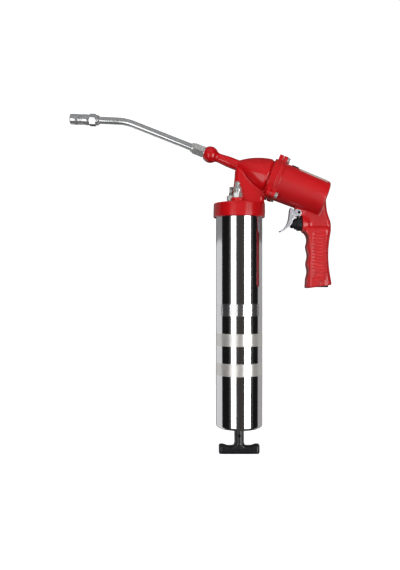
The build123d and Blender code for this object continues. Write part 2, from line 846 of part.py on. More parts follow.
# ---- Trigger ----
def lever_points(*shares):
    """Points of the trigger from shares of its length, back from the grip and up from its pin."""
    return [(x * lever_length, pivot_z + z * lever_length) for x, z in shares]


def trigger_side(top, tip, shift):
    """Front line of the trigger, moved back by a distance."""
    line = [top, *lever_points((-0.546, -0.089), (-0.610, -0.408), (-0.745, -0.635)), tip]
    return [(x + shift, z - shift * 0.35) for x, z in line]


def trigger():
    """Pressed-steel lever: a curved plate between two cheeks on the pin."""
    top, tip = lever_points((-0.4965, 0.209), (-1.0, -0.8015))
    tangents = ((-0.35, -1), (-1, -0.35))
    front = Spline(*trigger_side(top, tip, 0), tangents=tangents)
    lip = (tip[0] + trigger_plate * 0.3, tip[1] - trigger_plate)
    back = lever_points(
        (-0.709, -0.727),
        (-0.560, -0.628),
        (-0.454, -0.479),
        (-0.390, -0.287),
        (-0.305, -0.177),
        (-0.0887, -0.156),
        (-0.0319, -0.050),
        (-0.0461, 0.078),
        (-0.284, 0.163),
    )
    outline = Polyline(tip, lip, *back, top)
    side = Face(Wire([front, *outline.edges()]))
    solid = extrude(Plane.XZ * side, trigger_width / 2, both=True)
    inner_top, inner_tip = lever_points((-0.475, 0.316), (-0.780, -0.699))
    inner_front = Spline(*trigger_side(inner_top, inner_tip, trigger_plate), tangents=tangents)
    low = inner_front @ 1
    high = inner_front @ 0
    under = low.Y - 4 * trigger_plate
    right = ear_radius * 2
    corners = [(low.X + 2.5 * trigger_plate, under), (right, under), (right, high.Y)]
    inner = Face(Wire([inner_front, *Polyline(tuple(low), *corners, tuple(high)).edges()]))
    solid -= extrude(Plane.XZ * inner, trigger_width / 2 - cheek, both=True)
    return solid - pivot(pin_radius + thread_gap, trigger_width)


def pivot(radius, length):
    """A bar on the trigger's pivot."""
    return Pos(pivot_x, 0, pivot_z) * Rot(90, 0, 0) * rod(radius, -length / 2, length / 2)


def trigger_pin():
    """Pin pressed into the ear, flush on one side, with a groove for the clip on the other."""
    half = trigger_width / 2 + 0.1
    pin = rod(pin_radius, -half - 1.6, half)
    pin -= ring(pin_radius + 1, pin_radius - 0.5, -half - clip_thickness - 0.05, -half + 0.05)
    return Pos(pivot_x, 0, pivot_z) * Rot(90, 0, 0) * pin


def pin_clip():
    """Spring clip in the pin's groove, open on one side."""
    half = trigger_width / 2 + 0.1
    clip = ring(pin_radius + 1.8, pin_radius - 0.45, -half - clip_thickness, -half)
    clip -= Pos(0, -pin_radius - 1, -half) * Box(2 * pin_radius - 1.2, 2 * pin_radius, 4)
    return Pos(pivot_x, 0, pivot_z) * Rot(90, 0, 0) * clip


# ---- Nipple and bleeder on the cap ----
def filler():
    """Filler nipple with its ball and spring."""
    base = cap_height + pad_height
    tip = base + filler_height
    shoulder = base + filler_hex_height
    neck = turned(
        (0, shoulder),
        (filler_waist, shoulder),
        (filler_waist, shoulder + 1.2),
        (filler_body, shoulder + 2.0),
        (filler_body, shoulder + 4.4),
        (filler_head, tip - 5.4),
        (filler_neck - 0.6, tip - 4.6),
        (filler_head, tip - 3.4),
        (filler_head, tip - 2.4),
        (filler_head - 1.6, tip),
        (0, tip),
    )
    body = one(hexagon(filler_hex, base, shoulder, 12), neck, rod(filler_neck, socket_depth, base))
    seat = tip - 2.2
    body -= rod(filler_bore + running_gap, socket_depth, seat)
    body -= rod(filler_bore * 0.6, seat - 1, tip)
    ball = Pos(0, 0, seat - filler_bore - 0.03) * Sphere(filler_bore)
    stop = seat - 2 * filler_bore - 7
    spring = coil(filler_bore - 0.45, 0.5, stop, seat - 2 * filler_bore, 4)
    plug = ring(filler_bore + 0.3, filler_bore * 0.4, stop - 1, stop)
    shapes = {"filler_body": body + plug, "filler_ball": ball, "filler_spring": spring}
    return {name: Pos(filler_x, filler_y) * shape for name, shape in shapes.items()}


def bleeder():
    """Press-to-vent valve with its pin, seal and spring."""
    base = cap_height + bleeder_pad
    top = base + bleeder_height
    collar = bleeder_hex * 0.62
    skirt = turned(
        (0, base), (collar, base), (collar, base + 1.2), (bleeder_hex / 2, base + 2.4), (0, base + 2.4)
    )
    body = one(skirt, hexagon(bleeder_hex, base + 2.0, top, 20), rod(filler_neck, socket_depth, base))
    seal_low = socket_depth - bleeder_seal
    disc_low = seal_low - 1.6
    disc_radius = filler_neck + 0.6
    body -= rod(bleeder_pin_radius + running_gap, socket_depth, top)
    cap_low = top + bleeder_travel + rest_gap + 1.2
    tip = top + bleeder_rise
    cap = turned(
        (0, cap_low),
        (bleeder_cap_radius, cap_low),
        (bleeder_cap_radius, tip - 1),
        (bleeder_cap_radius - 1, tip),
        (0, tip),
    )
    pin = one(rod(bleeder_pin_radius, disc_low, cap_low), cap, rod(disc_radius, disc_low, seal_low))
    seal = ring(disc_radius, bleeder_pin_radius + glue_gap, seal_low, socket_depth - 0.05)
    spring = coil(bleeder_pin_radius + 0.55, 0.7, top, cap_low, 3)
    shapes = {"bleeder_body": body, "bleeder_pin": pin, "bleeder_seal": seal, "bleeder_spring": spring}
    return {name: Pos(bleeder_x, bleeder_y) * shape for name, shape in shapes.items()}


# ---- Outlet ----
def outlet():
    """Check ball and spring, copper seal and hexagon adapter, in the pump frame."""
    hex_front = nose_station - outlet_seal
    collar = hex_front - adapter_hex_length
    end = collar - adapter_collar
    inner = adapter_inner()
    adapter = one(
        hexagon(adapter_hex, collar, hex_front, 8),
        rod(adapter_collar_radius, end, collar),
        rod(chamber_radius - thread_gap, hex_front, inner),
    )
    adapter = chamfer(adapter.edges().filter_by(GeomType.CIRCLE).group_by(Axis.Z)[0], 0.7)
    adapter -= rod(pipe_bore + 0.4, end, inner)
    adapter -= rod(pipe_radius + thread_gap, end, end + pipe_engagement)
    ball = Pos(0, 0, check_ball_station()) * Sphere(check_ball_radius)
    spring = coil(check_ball_radius - 0.6, 0.7, inner, check_ball_station() - check_ball_radius + 0.75, 2)
    seal = ring(chamber_radius + outlet_seal_rim, chamber_radius, hex_front, nose_station)
    shapes = {"outlet_adapter": adapter, "check_ball": ball, "check_spring": spring, "outlet_seal": seal}
    return {name: pump_frame * shape for name, shape in shapes.items()}


# ---- Pipe and coupler ----
def delivery_pipe():
    """Steel pipe: straight from the pump, one bend, straight to the coupler."""
    first = nose_station - outlet_seal - adapter_hex_length - adapter_collar + pipe_engagement
    start = along_pump(first)
    end = bend_corner + pipe_direction * (pipe_end - coupler_length + pipe_engagement - 3)
    route = FilletPolyline(tuple(start), tuple(bend_corner), tuple(end), radius=bend_radius)
    section = Circle(pipe_radius) - Circle(pipe_bore)
    return sweep(Plane(origin=start, z_dir=bend_corner - start) * section, path=route)


def coupler():
    """Coupler body, sleeve, jaws, seal and spring, in the coupler frame."""
    barrel_end = sleeve_length + coupler_barrel
    hex_end = barrel_end + coupler_hex_length
    spigot = coupler_cavity + 0.7
    seal_start = mouth_length + rest_gap + jaw_length
    seal_end = seal_start + 3.0
    cavity_end = sleeve_length + 6.0
    body = one(
        rod(spigot, seal_start + jaw_travel, sleeve_length),
        rod(coupler_radius, sleeve_length, barrel_end),
        hexagon(coupler_hex, barrel_end, hex_end, 20),
        turned(
            (0, hex_end),
            (coupler_radius - 0.2, hex_end),
            (coupler_radius - 0.2, coupler_length - 2),
            (coupler_radius - 1.6, coupler_length),
            (0, coupler_length),
        ),
    )
    body -= rod(coupler_cavity, seal_start + jaw_travel, cavity_end)
    body -= rod(pipe_bore, cavity_end, coupler_length)
    body -= rod(pipe_radius + thread_gap, coupler_length - pipe_engagement + 3, coupler_length)
    groove_low = sleeve_length - sleeve_groove
    sleeve = turned(
        (mouth_radius + 0.8, 0),
        (coupler_radius - 0.8, 0),
        (coupler_radius, 0.8),
        (coupler_radius, groove_low),
        (coupler_radius - groove_depth, groove_low),
        (coupler_radius - groove_depth, sleeve_length - 0.02),
        (spigot + thread_gap, sleeve_length - 0.02),
        (spigot + thread_gap, seal_start),
        (coupler_cavity + running_gap, seal_start),
        (coupler_cavity + running_gap, mouth_length + 1.5),
        (mouth_radius, mouth_length),
        (mouth_radius, 0.8),
    )
    jaws = turned(
        (jaw_radius, mouth_length + rest_gap),
        (mouth_radius - 0.1, mouth_length + rest_gap),
        (coupler_cavity - 0.1, mouth_length + rest_gap + 1.4),
        (coupler_cavity - 0.1, seal_start),
        (jaw_radius - 0.5, seal_start),
        (jaw_radius - 0.5, seal_start - 1.2),
        (jaw_radius + 0.3, seal_start - 2.0),
    )
    slit = Box(coupler_cavity, jaw_slit, 2 * seal_start)
    slit = Pos(coupler_cavity / 2 + jaw_slit, 0, seal_start / 2) * slit
    for index in range(jaw_count):
        jaws -= Rot(0, 0, 360 / jaw_count * index) * slit
    seal = ring(coupler_cavity - 0.1, 1.0, seal_start, seal_end)
    spring = coil(coupler_cavity - 1.0, 0.8, seal_end, cavity_end, 4)
    shapes = {
        "coupler_body": body,
        "coupler_sleeve": sleeve,
        "coupler_jaws": jaws,
        "coupler_seal": seal,
        "coupler_spring": spring,
    }
    return {name: coupler_frame * shape for name, shape in shapes.items()}


# ---- Inlet and trim ----
def inlet():
    """Threaded air inlet and its screen, in the grip's foot."""
    low = foot_at(inlet_x) - inlet_proud
    high = foot_at(inlet_x) + inlet_length
    bushing = rod(inlet_radius, low, high)
    bushing = chamfer(bushing.edges().group_by(Axis.Z)[0], 0.6)
    bushing -= rod(inlet_bore, low, high - screen_pocket)
    bushing -= rod(screen_radius, high - screen_pocket, high - inlet_floor)
    bushing -= rod(air_hole, high - inlet_floor, high)
    disc = rod(screen_radius - glue_gap, high - inlet_floor - screen_thickness, high - inlet_floor)
    pitch = screen_radius * 0.31
    opening = Box(pitch * 0.63, pitch * 0.63, 4 * screen_thickness)
    for row in range(-2, 3):
        for column in range(-2, 3):
            if row * row + column * column < 6:
                disc -= Pos(row * pitch, column * pitch, high - inlet_floor) * opening
    shapes = {"inlet_bushing": bushing, "inlet_screen": disc}
    return {name: grip_frame * Pos(inlet_x, 0, 0) * shape for name, shape in shapes.items()}


def wrap(start, end, angle, thickness):
    """A curved plate on top of the cylinder between two stations."""
    near, far = wall_radius(start) + glue_gap, wall_radius(end) + glue_gap
    profile = Plane.XZ * make_face(
        Polyline((near, start), (near + thickness, start), (far + thickness, end), (far, end), close=True)
    )
    return Rot(0, 0, -angle / 2) * revolve(profile, Axis.Z, angle)


def exhaust_cover():
    """Low black cover over the exhaust hole, with three slots to let the air out."""
    cover = wrap(exhaust_start, exhaust_end, exhaust_angle, exhaust_thickness)
    middle = (exhaust_start + exhaust_end) / 2
    for index in range(-1, 2):
        slot = Box(3 * exhaust_thickness, slot_length, slot_width)
        cover -= Pos(cylinder_radius, 0, middle + index * slot_pitch) * slot
    return pump_frame * cover


# ---- Write the pieces ----
pieces = {
    "head_casting": head_casting(),
    "cap_gasket": ring(thread_radius - 0.1, barrel_radius - barrel_wall - 3, thread_length, socket_depth),
    "barrel_tube": barrel_tube(),
    "rod_bushing": rod_bushing(),
    **follower(),
    "t_handle": t_handle(),
    "handle_pin": handle_pin(),
    **filler(),
    **bleeder(),
    **outlet(),
    "delivery_pipe": delivery_pipe(),
    **coupler(),
    "plunger": pump_frame * plunger(),
    "plunger_packing": pump_frame * packing(),
    "packing_nut": pump_frame * packing_nut(),
    "air_piston": pump_frame * air_piston(),
    "piston_seal": pump_frame * piston_seal(),
    "piston_nut": pump_frame * piston_nut_piece(),
    "return_spring": pump_frame * coil(spring_radius, spring_wire, bell_floor, piston_front, spring_turns),
    "flange_gasket": pump_frame * ring(flange_radius - 0.3, bore_radius + 0.5, head_face, ring_face),
    "cylinder_and_grip": cylinder_and_grip(),
    "flange_screws": flange_screws(),
    "screw_washers": screw_washers(),
    "label_plate": pump_frame * wrap(label_start, label_end, label_angle, label_thickness),
    "exhaust_cover": exhaust_cover(),
    "valve_body": valve_body(),
    **valve_pieces(),
    "trigger": grip_frame * trigger(),
    "trigger_pin": grip_frame * trigger_pin(),
    "pin_clip": grip_frame * pin_clip(),
    **inlet(),
}

os.makedirs("parts", exist_ok=True)
for name, piece in pieces.items():
    export_step(piece, f"parts/{name}.step")
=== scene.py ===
import json
import math

import bmesh
import bpy
import numpy as np
from bpy.props import FloatProperty, FloatVectorProperty, IntProperty, PointerProperty
from mathutils import Matrix, Vector


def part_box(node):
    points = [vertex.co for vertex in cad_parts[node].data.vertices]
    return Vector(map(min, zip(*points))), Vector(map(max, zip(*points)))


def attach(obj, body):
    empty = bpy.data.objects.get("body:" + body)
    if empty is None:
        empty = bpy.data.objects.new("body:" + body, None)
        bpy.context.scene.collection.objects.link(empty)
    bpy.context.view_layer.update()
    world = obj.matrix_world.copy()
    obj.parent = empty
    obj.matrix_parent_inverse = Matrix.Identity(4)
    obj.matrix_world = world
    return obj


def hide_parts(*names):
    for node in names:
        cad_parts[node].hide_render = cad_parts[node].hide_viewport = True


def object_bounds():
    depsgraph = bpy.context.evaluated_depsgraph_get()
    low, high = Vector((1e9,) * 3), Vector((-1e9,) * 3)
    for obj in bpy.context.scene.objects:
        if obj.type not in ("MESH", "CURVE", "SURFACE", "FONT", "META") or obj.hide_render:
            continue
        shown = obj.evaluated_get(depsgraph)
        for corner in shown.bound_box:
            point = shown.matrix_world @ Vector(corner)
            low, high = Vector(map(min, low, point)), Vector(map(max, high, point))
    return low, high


bl_info = {
    "name": "Air Grease Gun",
    "version": (1, 0, 0),
    "blender": (4, 5, 0),
    "location": "View3D > Sidebar > Grease Gun",
    "description": "Builds the looks of an air-operated grease gun round its CAD frame",
    "category": "Add Mesh",
}

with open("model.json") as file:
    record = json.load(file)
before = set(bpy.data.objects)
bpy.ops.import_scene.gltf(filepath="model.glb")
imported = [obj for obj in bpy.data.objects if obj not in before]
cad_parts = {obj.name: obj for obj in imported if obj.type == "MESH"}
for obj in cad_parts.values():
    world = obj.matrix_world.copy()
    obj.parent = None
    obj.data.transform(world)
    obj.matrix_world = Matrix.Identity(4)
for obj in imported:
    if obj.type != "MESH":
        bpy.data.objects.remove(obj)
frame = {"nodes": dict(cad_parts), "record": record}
CAD_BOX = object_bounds()
RECORD = frame["record"]
JOINTS = {joint["name"]: joint for joint in RECORD["behaviour"]["joints"]}
MOUNTS = {mount["name"]: mount for mount in RECORD["mounts"]}
MM = 0.001

# Shapes are drawn in millimetres. The pump frame has its Z along the pump, from the nose to the
# rear, and X upwards; the grip frame has its origin under the cylinder at the grip's front face.
PIVOT_IN_GRIP = Vector((-4.3, 0, -2.6))
GRIP_ORIGIN = Vector(JOINTS["trigger_hinge"]["pos_m"]) / MM - PIVOT_IN_GRIP
VALVE_Z = -16.1  # axis of the valve, in the grip frame
INLET_X = 24.8  # axis of the air inlet, in the grip frame
PANEL_IN_GRIP = Vector((19.7, 0, -54.8))  # middle of the ribbed panels
FILLER, FILLER_PAD = (-2.7, -17.5), 4.6  # place on the cap, and height of the pad under it
BLEEDER, BLEEDER_PAD = (-8.7, 16.5), 3.0
LUG_ANGLES = (0.0, 136.0, 224.0)
LUG_CIRCLE = 27.6
HEAD_FACE, RING_FACE = 46.3, 46.8  # stations of the two joined flanges along the pump
PIVOT_BORE = 1.62  # radius of the holes that the trigger's pin runs in
PASSAGE = 3.1  # radius of the grease passages in the head
THREAD_FOOT = 14.05  # height at which the fittings' threads end inside the cap
PUMP_AXIS = -Vector(JOINTS["piston_slide"]["axis"])
PIPE_AXIS = Vector(MOUNTS["coupler_mouth"]["axis"])


# ---- Sizes and colours ----
def length(label, text, value):
    """A length property, given in millimetres and kept in metres."""
    return FloatProperty(name=label, description=text, default=value * MM, unit="LENGTH", min=0)


def colour(label, text, value):
    """A colour property."""
    return FloatVectorProperty(
        name=label, description=text, default=value, subtype="COLOR", size=3, min=0, max=1
    )


class GreaseGunSizes(bpy.types.PropertyGroup):
    pump_height: length("Pump Height", "Pump axis above the cap's rim", 62.7)
    barrel_radius: length("Barrel Radius", "Outside of the barrel", MOUNTS["barrel"]["dims"]["r_mm"])
    barrel_drop: length("Barrel Drop", "Barrel below the cap's rim", 253)
    barrel_wall: length("Barrel Wall", "Thickness of the barrel's tube", 1.2)
    band_first: length("First Band", "From the rim to the middle of the first knurled band", 111)
    band_pitch: length("Band Pitch", "Between the middles of the knurled bands", 35.4)
    band_width: length("Band Width", "Width of a knurled band", 15)
    knurl_count: IntProperty(name="Knurl Count", description="Diamonds round a band", default=110, min=8)
    knurl_rows: IntProperty(name="Knurl Rows", description="Diamonds across a band", default=9, min=2)
    knurl_relief: length("Knurl Relief", "Height of the knurled diamonds", 0.05)
    cap_radius: length("Cap Radius", "Cap at its lower rim", 31.2)
    cap_height: length("Cap Height", "Height of the cap", 17.3)
    bell_radius: length("Bell Radius", "Bell at its rim", 22.5)
    cylinder_radius: length("Cylinder Radius", "Air cylinder behind its ring", 23.5)
    cylinder_end: length("Cylinder End", "Station of the cylinder's closed end", 110.5)
    grip_width: length("Grip Width", "Width of the palm", 26)
    rib_pitch: length("Rib Pitch", "Between the ribs of a grip panel", 3.9)
    rib_radius: length("Rib Radius", "Radius of a rib's crest", 0.8)
    pipe_radius: length("Pipe Radius", "Outside of the delivery pipe", 4.25)
    bend_radius: length("Bend Radius", "Radius of the pipe's bend", 62)
    casting_cell: length("Casting Detail", "Grid that the castings are skinned on", 0.8)
    small_cell: length("Small Detail", "Grid that the lever and handle are skinned on", 0.42)


class GreaseGunColours(bpy.types.PropertyGroup):
    enamel: colour("Enamel", "Red enamel of the castings", (0.54, 0.005, 0.008))
    # Lighter enamel for convex edges: paint worn thin there, and a painted edge highlight as well.
    enamel_wear_and_sheen: colour("Enamel Highlights", "Enamel where it is thin on edges", (0.64, 0.02, 0.025))
    chrome: colour("Chrome", "Bright chrome", (0.80, 0.80, 0.82))
    knurl: colour("Knurl", "Satin of the knurled bands", (0.80, 0.78, 0.75))
    nickel: colour("Nickel", "Dull plate of the pipe and coupler", (0.70, 0.71, 0.72))
    zinc: colour("Zinc", "Zinc plate of the small fittings", (0.76, 0.77, 0.75))
    dark_steel: colour("Dark Steel", "Blackened steel", (0.02, 0.02, 0.02))
    bright_steel: colour("Bright Steel", "Ground rods and balls", (0.62, 0.62, 0.62))
    spring_steel: colour("Spring Steel", "Wire of the springs", (0.42, 0.42, 0.43))
    alloy: colour("Alloy", "Air piston", (0.68, 0.68, 0.69))
    lever: colour("Lever", "Brushed chrome of the trigger", (0.72, 0.74, 0.79))
    plastic: colour("Plastic", "Black moulded plastic", (0.012, 0.012, 0.014))
    foil: colour("Foil", "Bare plate on the cylinder", (0.72, 0.64, 0.60))
    brass: colour("Brass", "Plain brass", (0.62, 0.45, 0.18))
    rubber: colour("Rubber", "Seals", (0.02, 0.02, 0.02))


def sizes():
    return bpy.context.scene.grease_gun_sizes


def colours():
    return bpy.context.scene.grease_gun_colours


# ---- Node trees ----
def combining(operation, swapped=False):
    """A method of Wire that adds a Math node; swapped gives the reflected form."""

    def combine(self, other):
        return self.math(operation, *((other, self) if swapped else (self, other)))

    return combine


class Wire:
    """One output socket of a node tree; arithmetic on it adds Math nodes."""

    def __init__(self, tree, socket):
        self.tree = tree
        self.socket = socket

    def math(self, operation, *values):
        return self.tree.node("ShaderNodeMath", {"operation": operation}, dict(enumerate(values)))

    __add__, __radd__ = combining("ADD"), combining("ADD", True)
    __sub__, __rsub__ = combining("SUBTRACT"), combining("SUBTRACT", True)
    __mul__, __rmul__ = combining("MULTIPLY"), combining("MULTIPLY", True)
    __lt__ = combining("LESS_THAN")
    least = combining("MINIMUM")

    def triangle(self):
        """A wave of period 1 that runs between 0 and 1."""
        return self.math("PINGPONG", self, 0.5) * 2


class Tree:
    """A node tree whose nodes all come from one method."""

    def __init__(self, tree):
        self.tree = tree

    def node(self, kind, settings=None, inputs=None, output=0):
        made = self.tree.nodes.new(kind)
        for key, value in (settings or {}).items():
            setattr(made, key, value)
        for key, value in (inputs or {}).items():
            if isinstance(value, Wire):
                self.tree.links.new(value.socket, made.inputs[key])
            else:
                made.inputs[key].default_value = value
        return Wire(self, made.outputs[output]) if made.outputs else None

    def vector(self, **axes):
        return self.node("ShaderNodeCombineXYZ", None, axes)

    def on_circle(self, angle, radius, height=0.0):
        """A place at an angle on a circle round Z."""
        across, along = angle.math("COSINE", angle) * radius, angle.math("SINE", angle) * radius
        return self.vector(X=across, Y=along, Z=height)


class Finish(Tree):
    """A material, with short names for what most finishes share."""

    def __init__(self, name):
        self.material = bpy.data.materials.new(f"finish_{name}")
        self.material.use_nodes = True
        self.material.node_tree.nodes.clear()
        super().__init__(self.material.node_tree)
        self.place = self.node("ShaderNodeTexCoord", output="Object")

    def noise(self, scale, detail=2.0, stretch=None):
        place = self.place
        if stretch:
            place = self.node("ShaderNodeMapping", None, {"Vector": place, "Scale": stretch})
        return self.node("ShaderNodeTexNoise", None, {"Vector": place, "Scale": scale, "Detail": detail})

    def spread(self, value, low, high, start=0.3, stop=0.7):
        """A value carried from between start and stop to between low and high."""
        inputs = {"Value": value, "From Min": start, "From Max": stop, "To Min": low, "To Max": high}
        return self.node("ShaderNodeMapRange", None, inputs)

    def mixed(self, factor, first, second):
        inputs = {0: factor, 6: self.shade(first), 7: self.shade(second)}
        return self.node("ShaderNodeMix", {"data_type": "RGBA"}, inputs, output=2)

    def shade(self, value):
        return value if isinstance(value, Wire) else (*value, 1)

    def bump(self, height, strength, distance, below=None):
        inputs = {"Height": height, "Strength": strength, "Distance": distance}
        if below:
            inputs["Normal"] = below
        return self.node("ShaderNodeBump", None, inputs)

    def surface(self, **inputs):
        named = {key.replace("_", " "): value for key, value in inputs.items()}
        shader = self.node("ShaderNodeBsdfPrincipled", None, named)
        self.node("ShaderNodeOutputMaterial", None, {"Surface": shader})
        return self.material


def enamel(name, base, roughness, coat, shine):
    """Thick enamel: soft waves in the gloss, lighter along convex edges, as worn thin paint and as a painted
    edge highlight.
    """
    f = Finish(name)
    waves = f.noise(260, 1.5)
    grain = f.noise(1500, 2)
    # Pointiness finds the convex edges. They are painted lighter, for worn paint and as a painted highlight.
    edges = f.spread(f.node("ShaderNodeNewGeometry", output="Pointiness"), 0, 1, 0.52, 0.60)
    tone = f.mixed(f.spread(f.noise(35, 3), 0, 1), base, base * 0.86)
    return f.surface(
        Base_Color=f.mixed(edges, tone, colours().enamel_wear_and_sheen),
        Roughness=f.spread(f.noise(120, 4), roughness * 0.85, roughness * 1.2),
        Specular_IOR_Level=shine,
        Coat_Weight=coat,
        Coat_Roughness=0.12,
        Normal=f.bump(grain, 0.08, 0.00004, f.bump(waves, 0.06, 0.0002)),
    )


def plated(name, base, roughness, scale, depth, mottle=0.88, mirror=1.0, stretch=None):
    """Plated metal, with streaks where stretch is given and a cloudy surface elsewhere."""
    f = Finish(name)
    streaks = f.noise(scale, 3, stretch)
    clouds = f.noise(60, 4)
    return f.surface(
        Base_Color=f.mixed(f.spread(clouds, 0, 1), base, base * mottle),
        Metallic=mirror,
        Roughness=f.spread(streaks, roughness * 0.75, roughness * 1.3),
        Normal=f.bump(streaks, 0.25, depth),
    )


def moulded(name, base, roughness, scale, depth):
    """Moulded plastic or rubber with a fine spark-eroded grain."""
    f = Finish(name)
    pits = f.noise(scale, 3)
    broad = f.noise(90, 3)
    return f.surface(
        Base_Color=f.mixed(f.spread(broad, 0, 1), base, base * 1.35),
        Roughness=f.spread(pits, roughness * 0.85, roughness * 1.15),
        Normal=f.bump(pits, 0.35, depth),
    )


# Each finish: its maker, its colour, its roughness, and then what its maker asks for.
FINISHES = {
    "red_gloss": (enamel, "enamel", 0.24, 0.7, 0.2),
    "red_satin": (enamel, "enamel", 0.34, 0.4, 0.4),
    "chrome_barrel": (plated, "chrome", 0.09, 700, 0.000001, 0.97, 1.0, (1, 1, 0.02)),
    "chrome_lever": (plated, "lever", 0.24, 300, 0.000003, 0.95, 0.5),
    "knurl_satin": (plated, "knurl", 0.2, 900, 0.00001, 0.95, 0.55),
    "knurl_worn": (plated, "chrome", 0.1, 900, 0.00001, 0.95, 0.94),
    "nickel_pipe": (plated, "nickel", 0.13, 420, 0.000003, 0.94, 0.75),
    "zinc_steel": (plated, "zinc", 0.24, 500, 0.000004, 0.85, 0.7),
    "dark_steel": (plated, "dark_steel", 0.38, 500, 0.00003),
    "bright_steel": (plated, "bright_steel", 0.2, 600, 0.00001, 0.88, 1.0, (1, 1, 0.05)),
    "spring_steel": (plated, "spring_steel", 0.3, 900, 0.00002),
    "piston_alloy": (plated, "alloy", 0.28, 500, 0.00002),
    "brass_fitting": (plated, "brass", 0.28, 400, 0.00002),
    "label_foil": (plated, "foil", 0.36, 900, 0.00001, 0.92, 0.3, (1, 0.03, 1)),
    "black_plastic": (moulded, "plastic", 0.28, 1500, 0.00002),
    "rubber_seal": (moulded, "rubber", 0.6, 900, 0.00005),
}


def finish(name):
    """The material of a finish, made once."""
    made = bpy.data.materials.get(f"finish_{name}")
    if made:
        return made
    maker, shade, *values = FINISHES[name]
    return maker(name, Vector(getattr(colours(), shade)), *values)


# ---- Outlines ----
def unit(vector):
    return vector / np.linalg.norm(vector)


def corner_arc(back, here, on, radius, steps):
    """Points of the arc that rounds a corner between the unit directions back and on."""
    half = math.acos(np.clip(back @ on, -1, 1)) / 2
    middle = here + unit(back + on) * radius / math.sin(half)
    run = radius / math.tan(half)
    start, end = here + back * run - middle, here + on * run - middle
    turn = math.pi - 2 * half
    return [
        middle + (math.sin((1 - t) * turn) * start + math.sin(t * turn) * end) / math.sin(turn)
        for t in np.linspace(0, 1, steps)
    ]


def rounded(*corners, steps=6):
    """A closed outline from (x, y, radius) corners, with arcs where a radius is given."""
    corners = [(*corner, 0.0)[:3] for corner in corners]
    points = []
    for index, (x, y, radius) in enumerate(corners):
        here = np.array((x, y), float)
        if radius:
            back = unit(np.array(corners[index - 1][:2]) - here)
            on = unit(np.array(corners[(index + 1) % len(corners)][:2]) - here)
            points += corner_arc(back, here, on, radius, steps)
        else:
            points.append(here)
    return np.array(points)


def through(points, start, end, steps=8):
    """A smooth curve through points, leaving and arriving along two directions."""
    points = np.array(points, float)
    span = np.linalg.norm(np.diff(points, axis=0), axis=1)
    count = len(points)
    matrix, right = np.zeros((count, count)), np.zeros((count, 2))
    matrix[0, 0] = matrix[-1, -1] = 1
    right[0], right[-1] = unit(np.array(start)), unit(np.array(end))
    for i in range(1, count - 1):
        a, b = span[i - 1], span[i]
        matrix[i, i - 1 : i + 2] = b, 2 * (a + b), a
        right[i] = 3 * (b * (points[i] - points[i - 1]) / a + a * (points[i + 1] - points[i]) / b)
    slopes = np.linalg.solve(matrix, right)
    curve = []
    for i in range(count - 1):
        t = np.linspace(0, 1, steps, endpoint=i == count - 2)[:, None]
        curve.append(
            (2 * t**3 - 3 * t**2 + 1) * points[i]
            + (t**3 - 2 * t**2 + t) * span[i] * slopes[i]
            + (3 * t**2 - 2 * t**3) * points[i + 1]
            + (t**3 - t**2) * span[i] * slopes[i + 1]
        )
    return np.concatenate(curve)


# ---- Cast and forged shapes, as distance fields ----
CHUNK = 200000  # points that a field takes at once
SKIN_ROOM = 1.5  # room round a CAD node's box for its skin, in millimetres


def outline_distance(outline, p):
    """Signed distance of points to a closed outline, negative inside."""
    best = np.full(len(p), 1e9)
    inside = np.zeros(len(p), bool)
    for a, b in zip(outline, np.roll(outline, -1, axis=0)):
        along, away = b - a, p - a
        if not along.any():
            continue
        t = np.clip(away @ along / (along @ along), 0, 1)
        gap_x, gap_y = away[:, 0] - t * along[0], away[:, 1] - t * along[1]
        best = np.minimum(best, gap_x * gap_x + gap_y * gap_y)
        crosses = (a[1] > p[:, 1]) != (b[1] > p[:, 1])
        inside ^= crosses & ((away[:, 0] * along[1] < along[0] * away[:, 1]) == (along[1] > 0))
    return np.where(inside, -1, 1) * np.sqrt(best)


def capped(side, face, edge):
    """Joins the distances to a wall and to an end face, with a rounded edge between them."""
    side, face = side + edge, face + edge
    outer = np.hypot(np.maximum(side, 0), np.maximum(face, 0))
    return np.minimum(np.maximum(side, face), 0) + outer - edge


class Field:
    """A solid as a signed distance in millimetres, negative inside."""

    def __init__(self, distance):
        self.distance = distance

    def __call__(self, points):
        return self.distance(points)

    def join(self, other, fillet=0.0):
        def distance(p):
            a, b = self(p), other(p)
            if not fillet:
                return np.minimum(a, b)
            both = np.hypot(np.maximum(fillet - a, 0), np.maximum(fillet - b, 0))
            return np.maximum(fillet, np.minimum(a, b)) - both

        return Field(distance)

    def cut(self, other, edge=0.0):
        def distance(p):
            a, b = self(p), -other(p)
            if not edge:
                return np.maximum(a, b)
            both = np.hypot(np.maximum(edge + a, 0), np.maximum(edge + b, 0))
            return np.minimum(-edge, np.maximum(a, b)) + both

        return Field(distance)

    def placed(self, matrix):
        back = np.array(matrix.inverted())
        return Field(lambda p: self(p @ back[:3, :3].T + back[:3, 3]))


def turned(outline):
    """A field turned about Z from a (radius, height) outline."""
    return Field(lambda p: outline_distance(outline, np.stack((np.hypot(p[:, 0], p[:, 1]), p[:, 2]), 1)))


def extruded(outline, half, edge=0.0):
    """An outline in XZ thickened along Y to both sides."""
    return Field(lambda p: capped(outline_distance(outline, p[:, ::2]), np.abs(p[:, 1]) - half, edge))


def ear(inner, outer, radius, low, high, edge):
    """A round-ended arm along X from one distance to another, thick from low to high in Z."""
    middle, half = (low + high) / 2, (high - low) / 2

    def distance(p):
        x = p[:, 0] - np.clip(p[:, 0], inner, outer)
        return capped(np.hypot(x, p[:, 1]) - radius, np.abs(p[:, 2] - middle) - half, edge)

    return Field(distance)


def rod(radius, low, high, edge=0.0):
    """A round bar along Z."""
    return ear(0, 0, radius, low, high, edge)


def block(centre, size, edge=0.0):
    """A box with rounded edges."""
    centre, half = np.array(centre, float), np.array(size, float) / 2 - edge

    def distance(p):
        away = np.abs(p - centre) - half
        return np.linalg.norm(np.maximum(away, 0), axis=1) + np.minimum(away.max(1), 0) - edge

    return Field(distance)


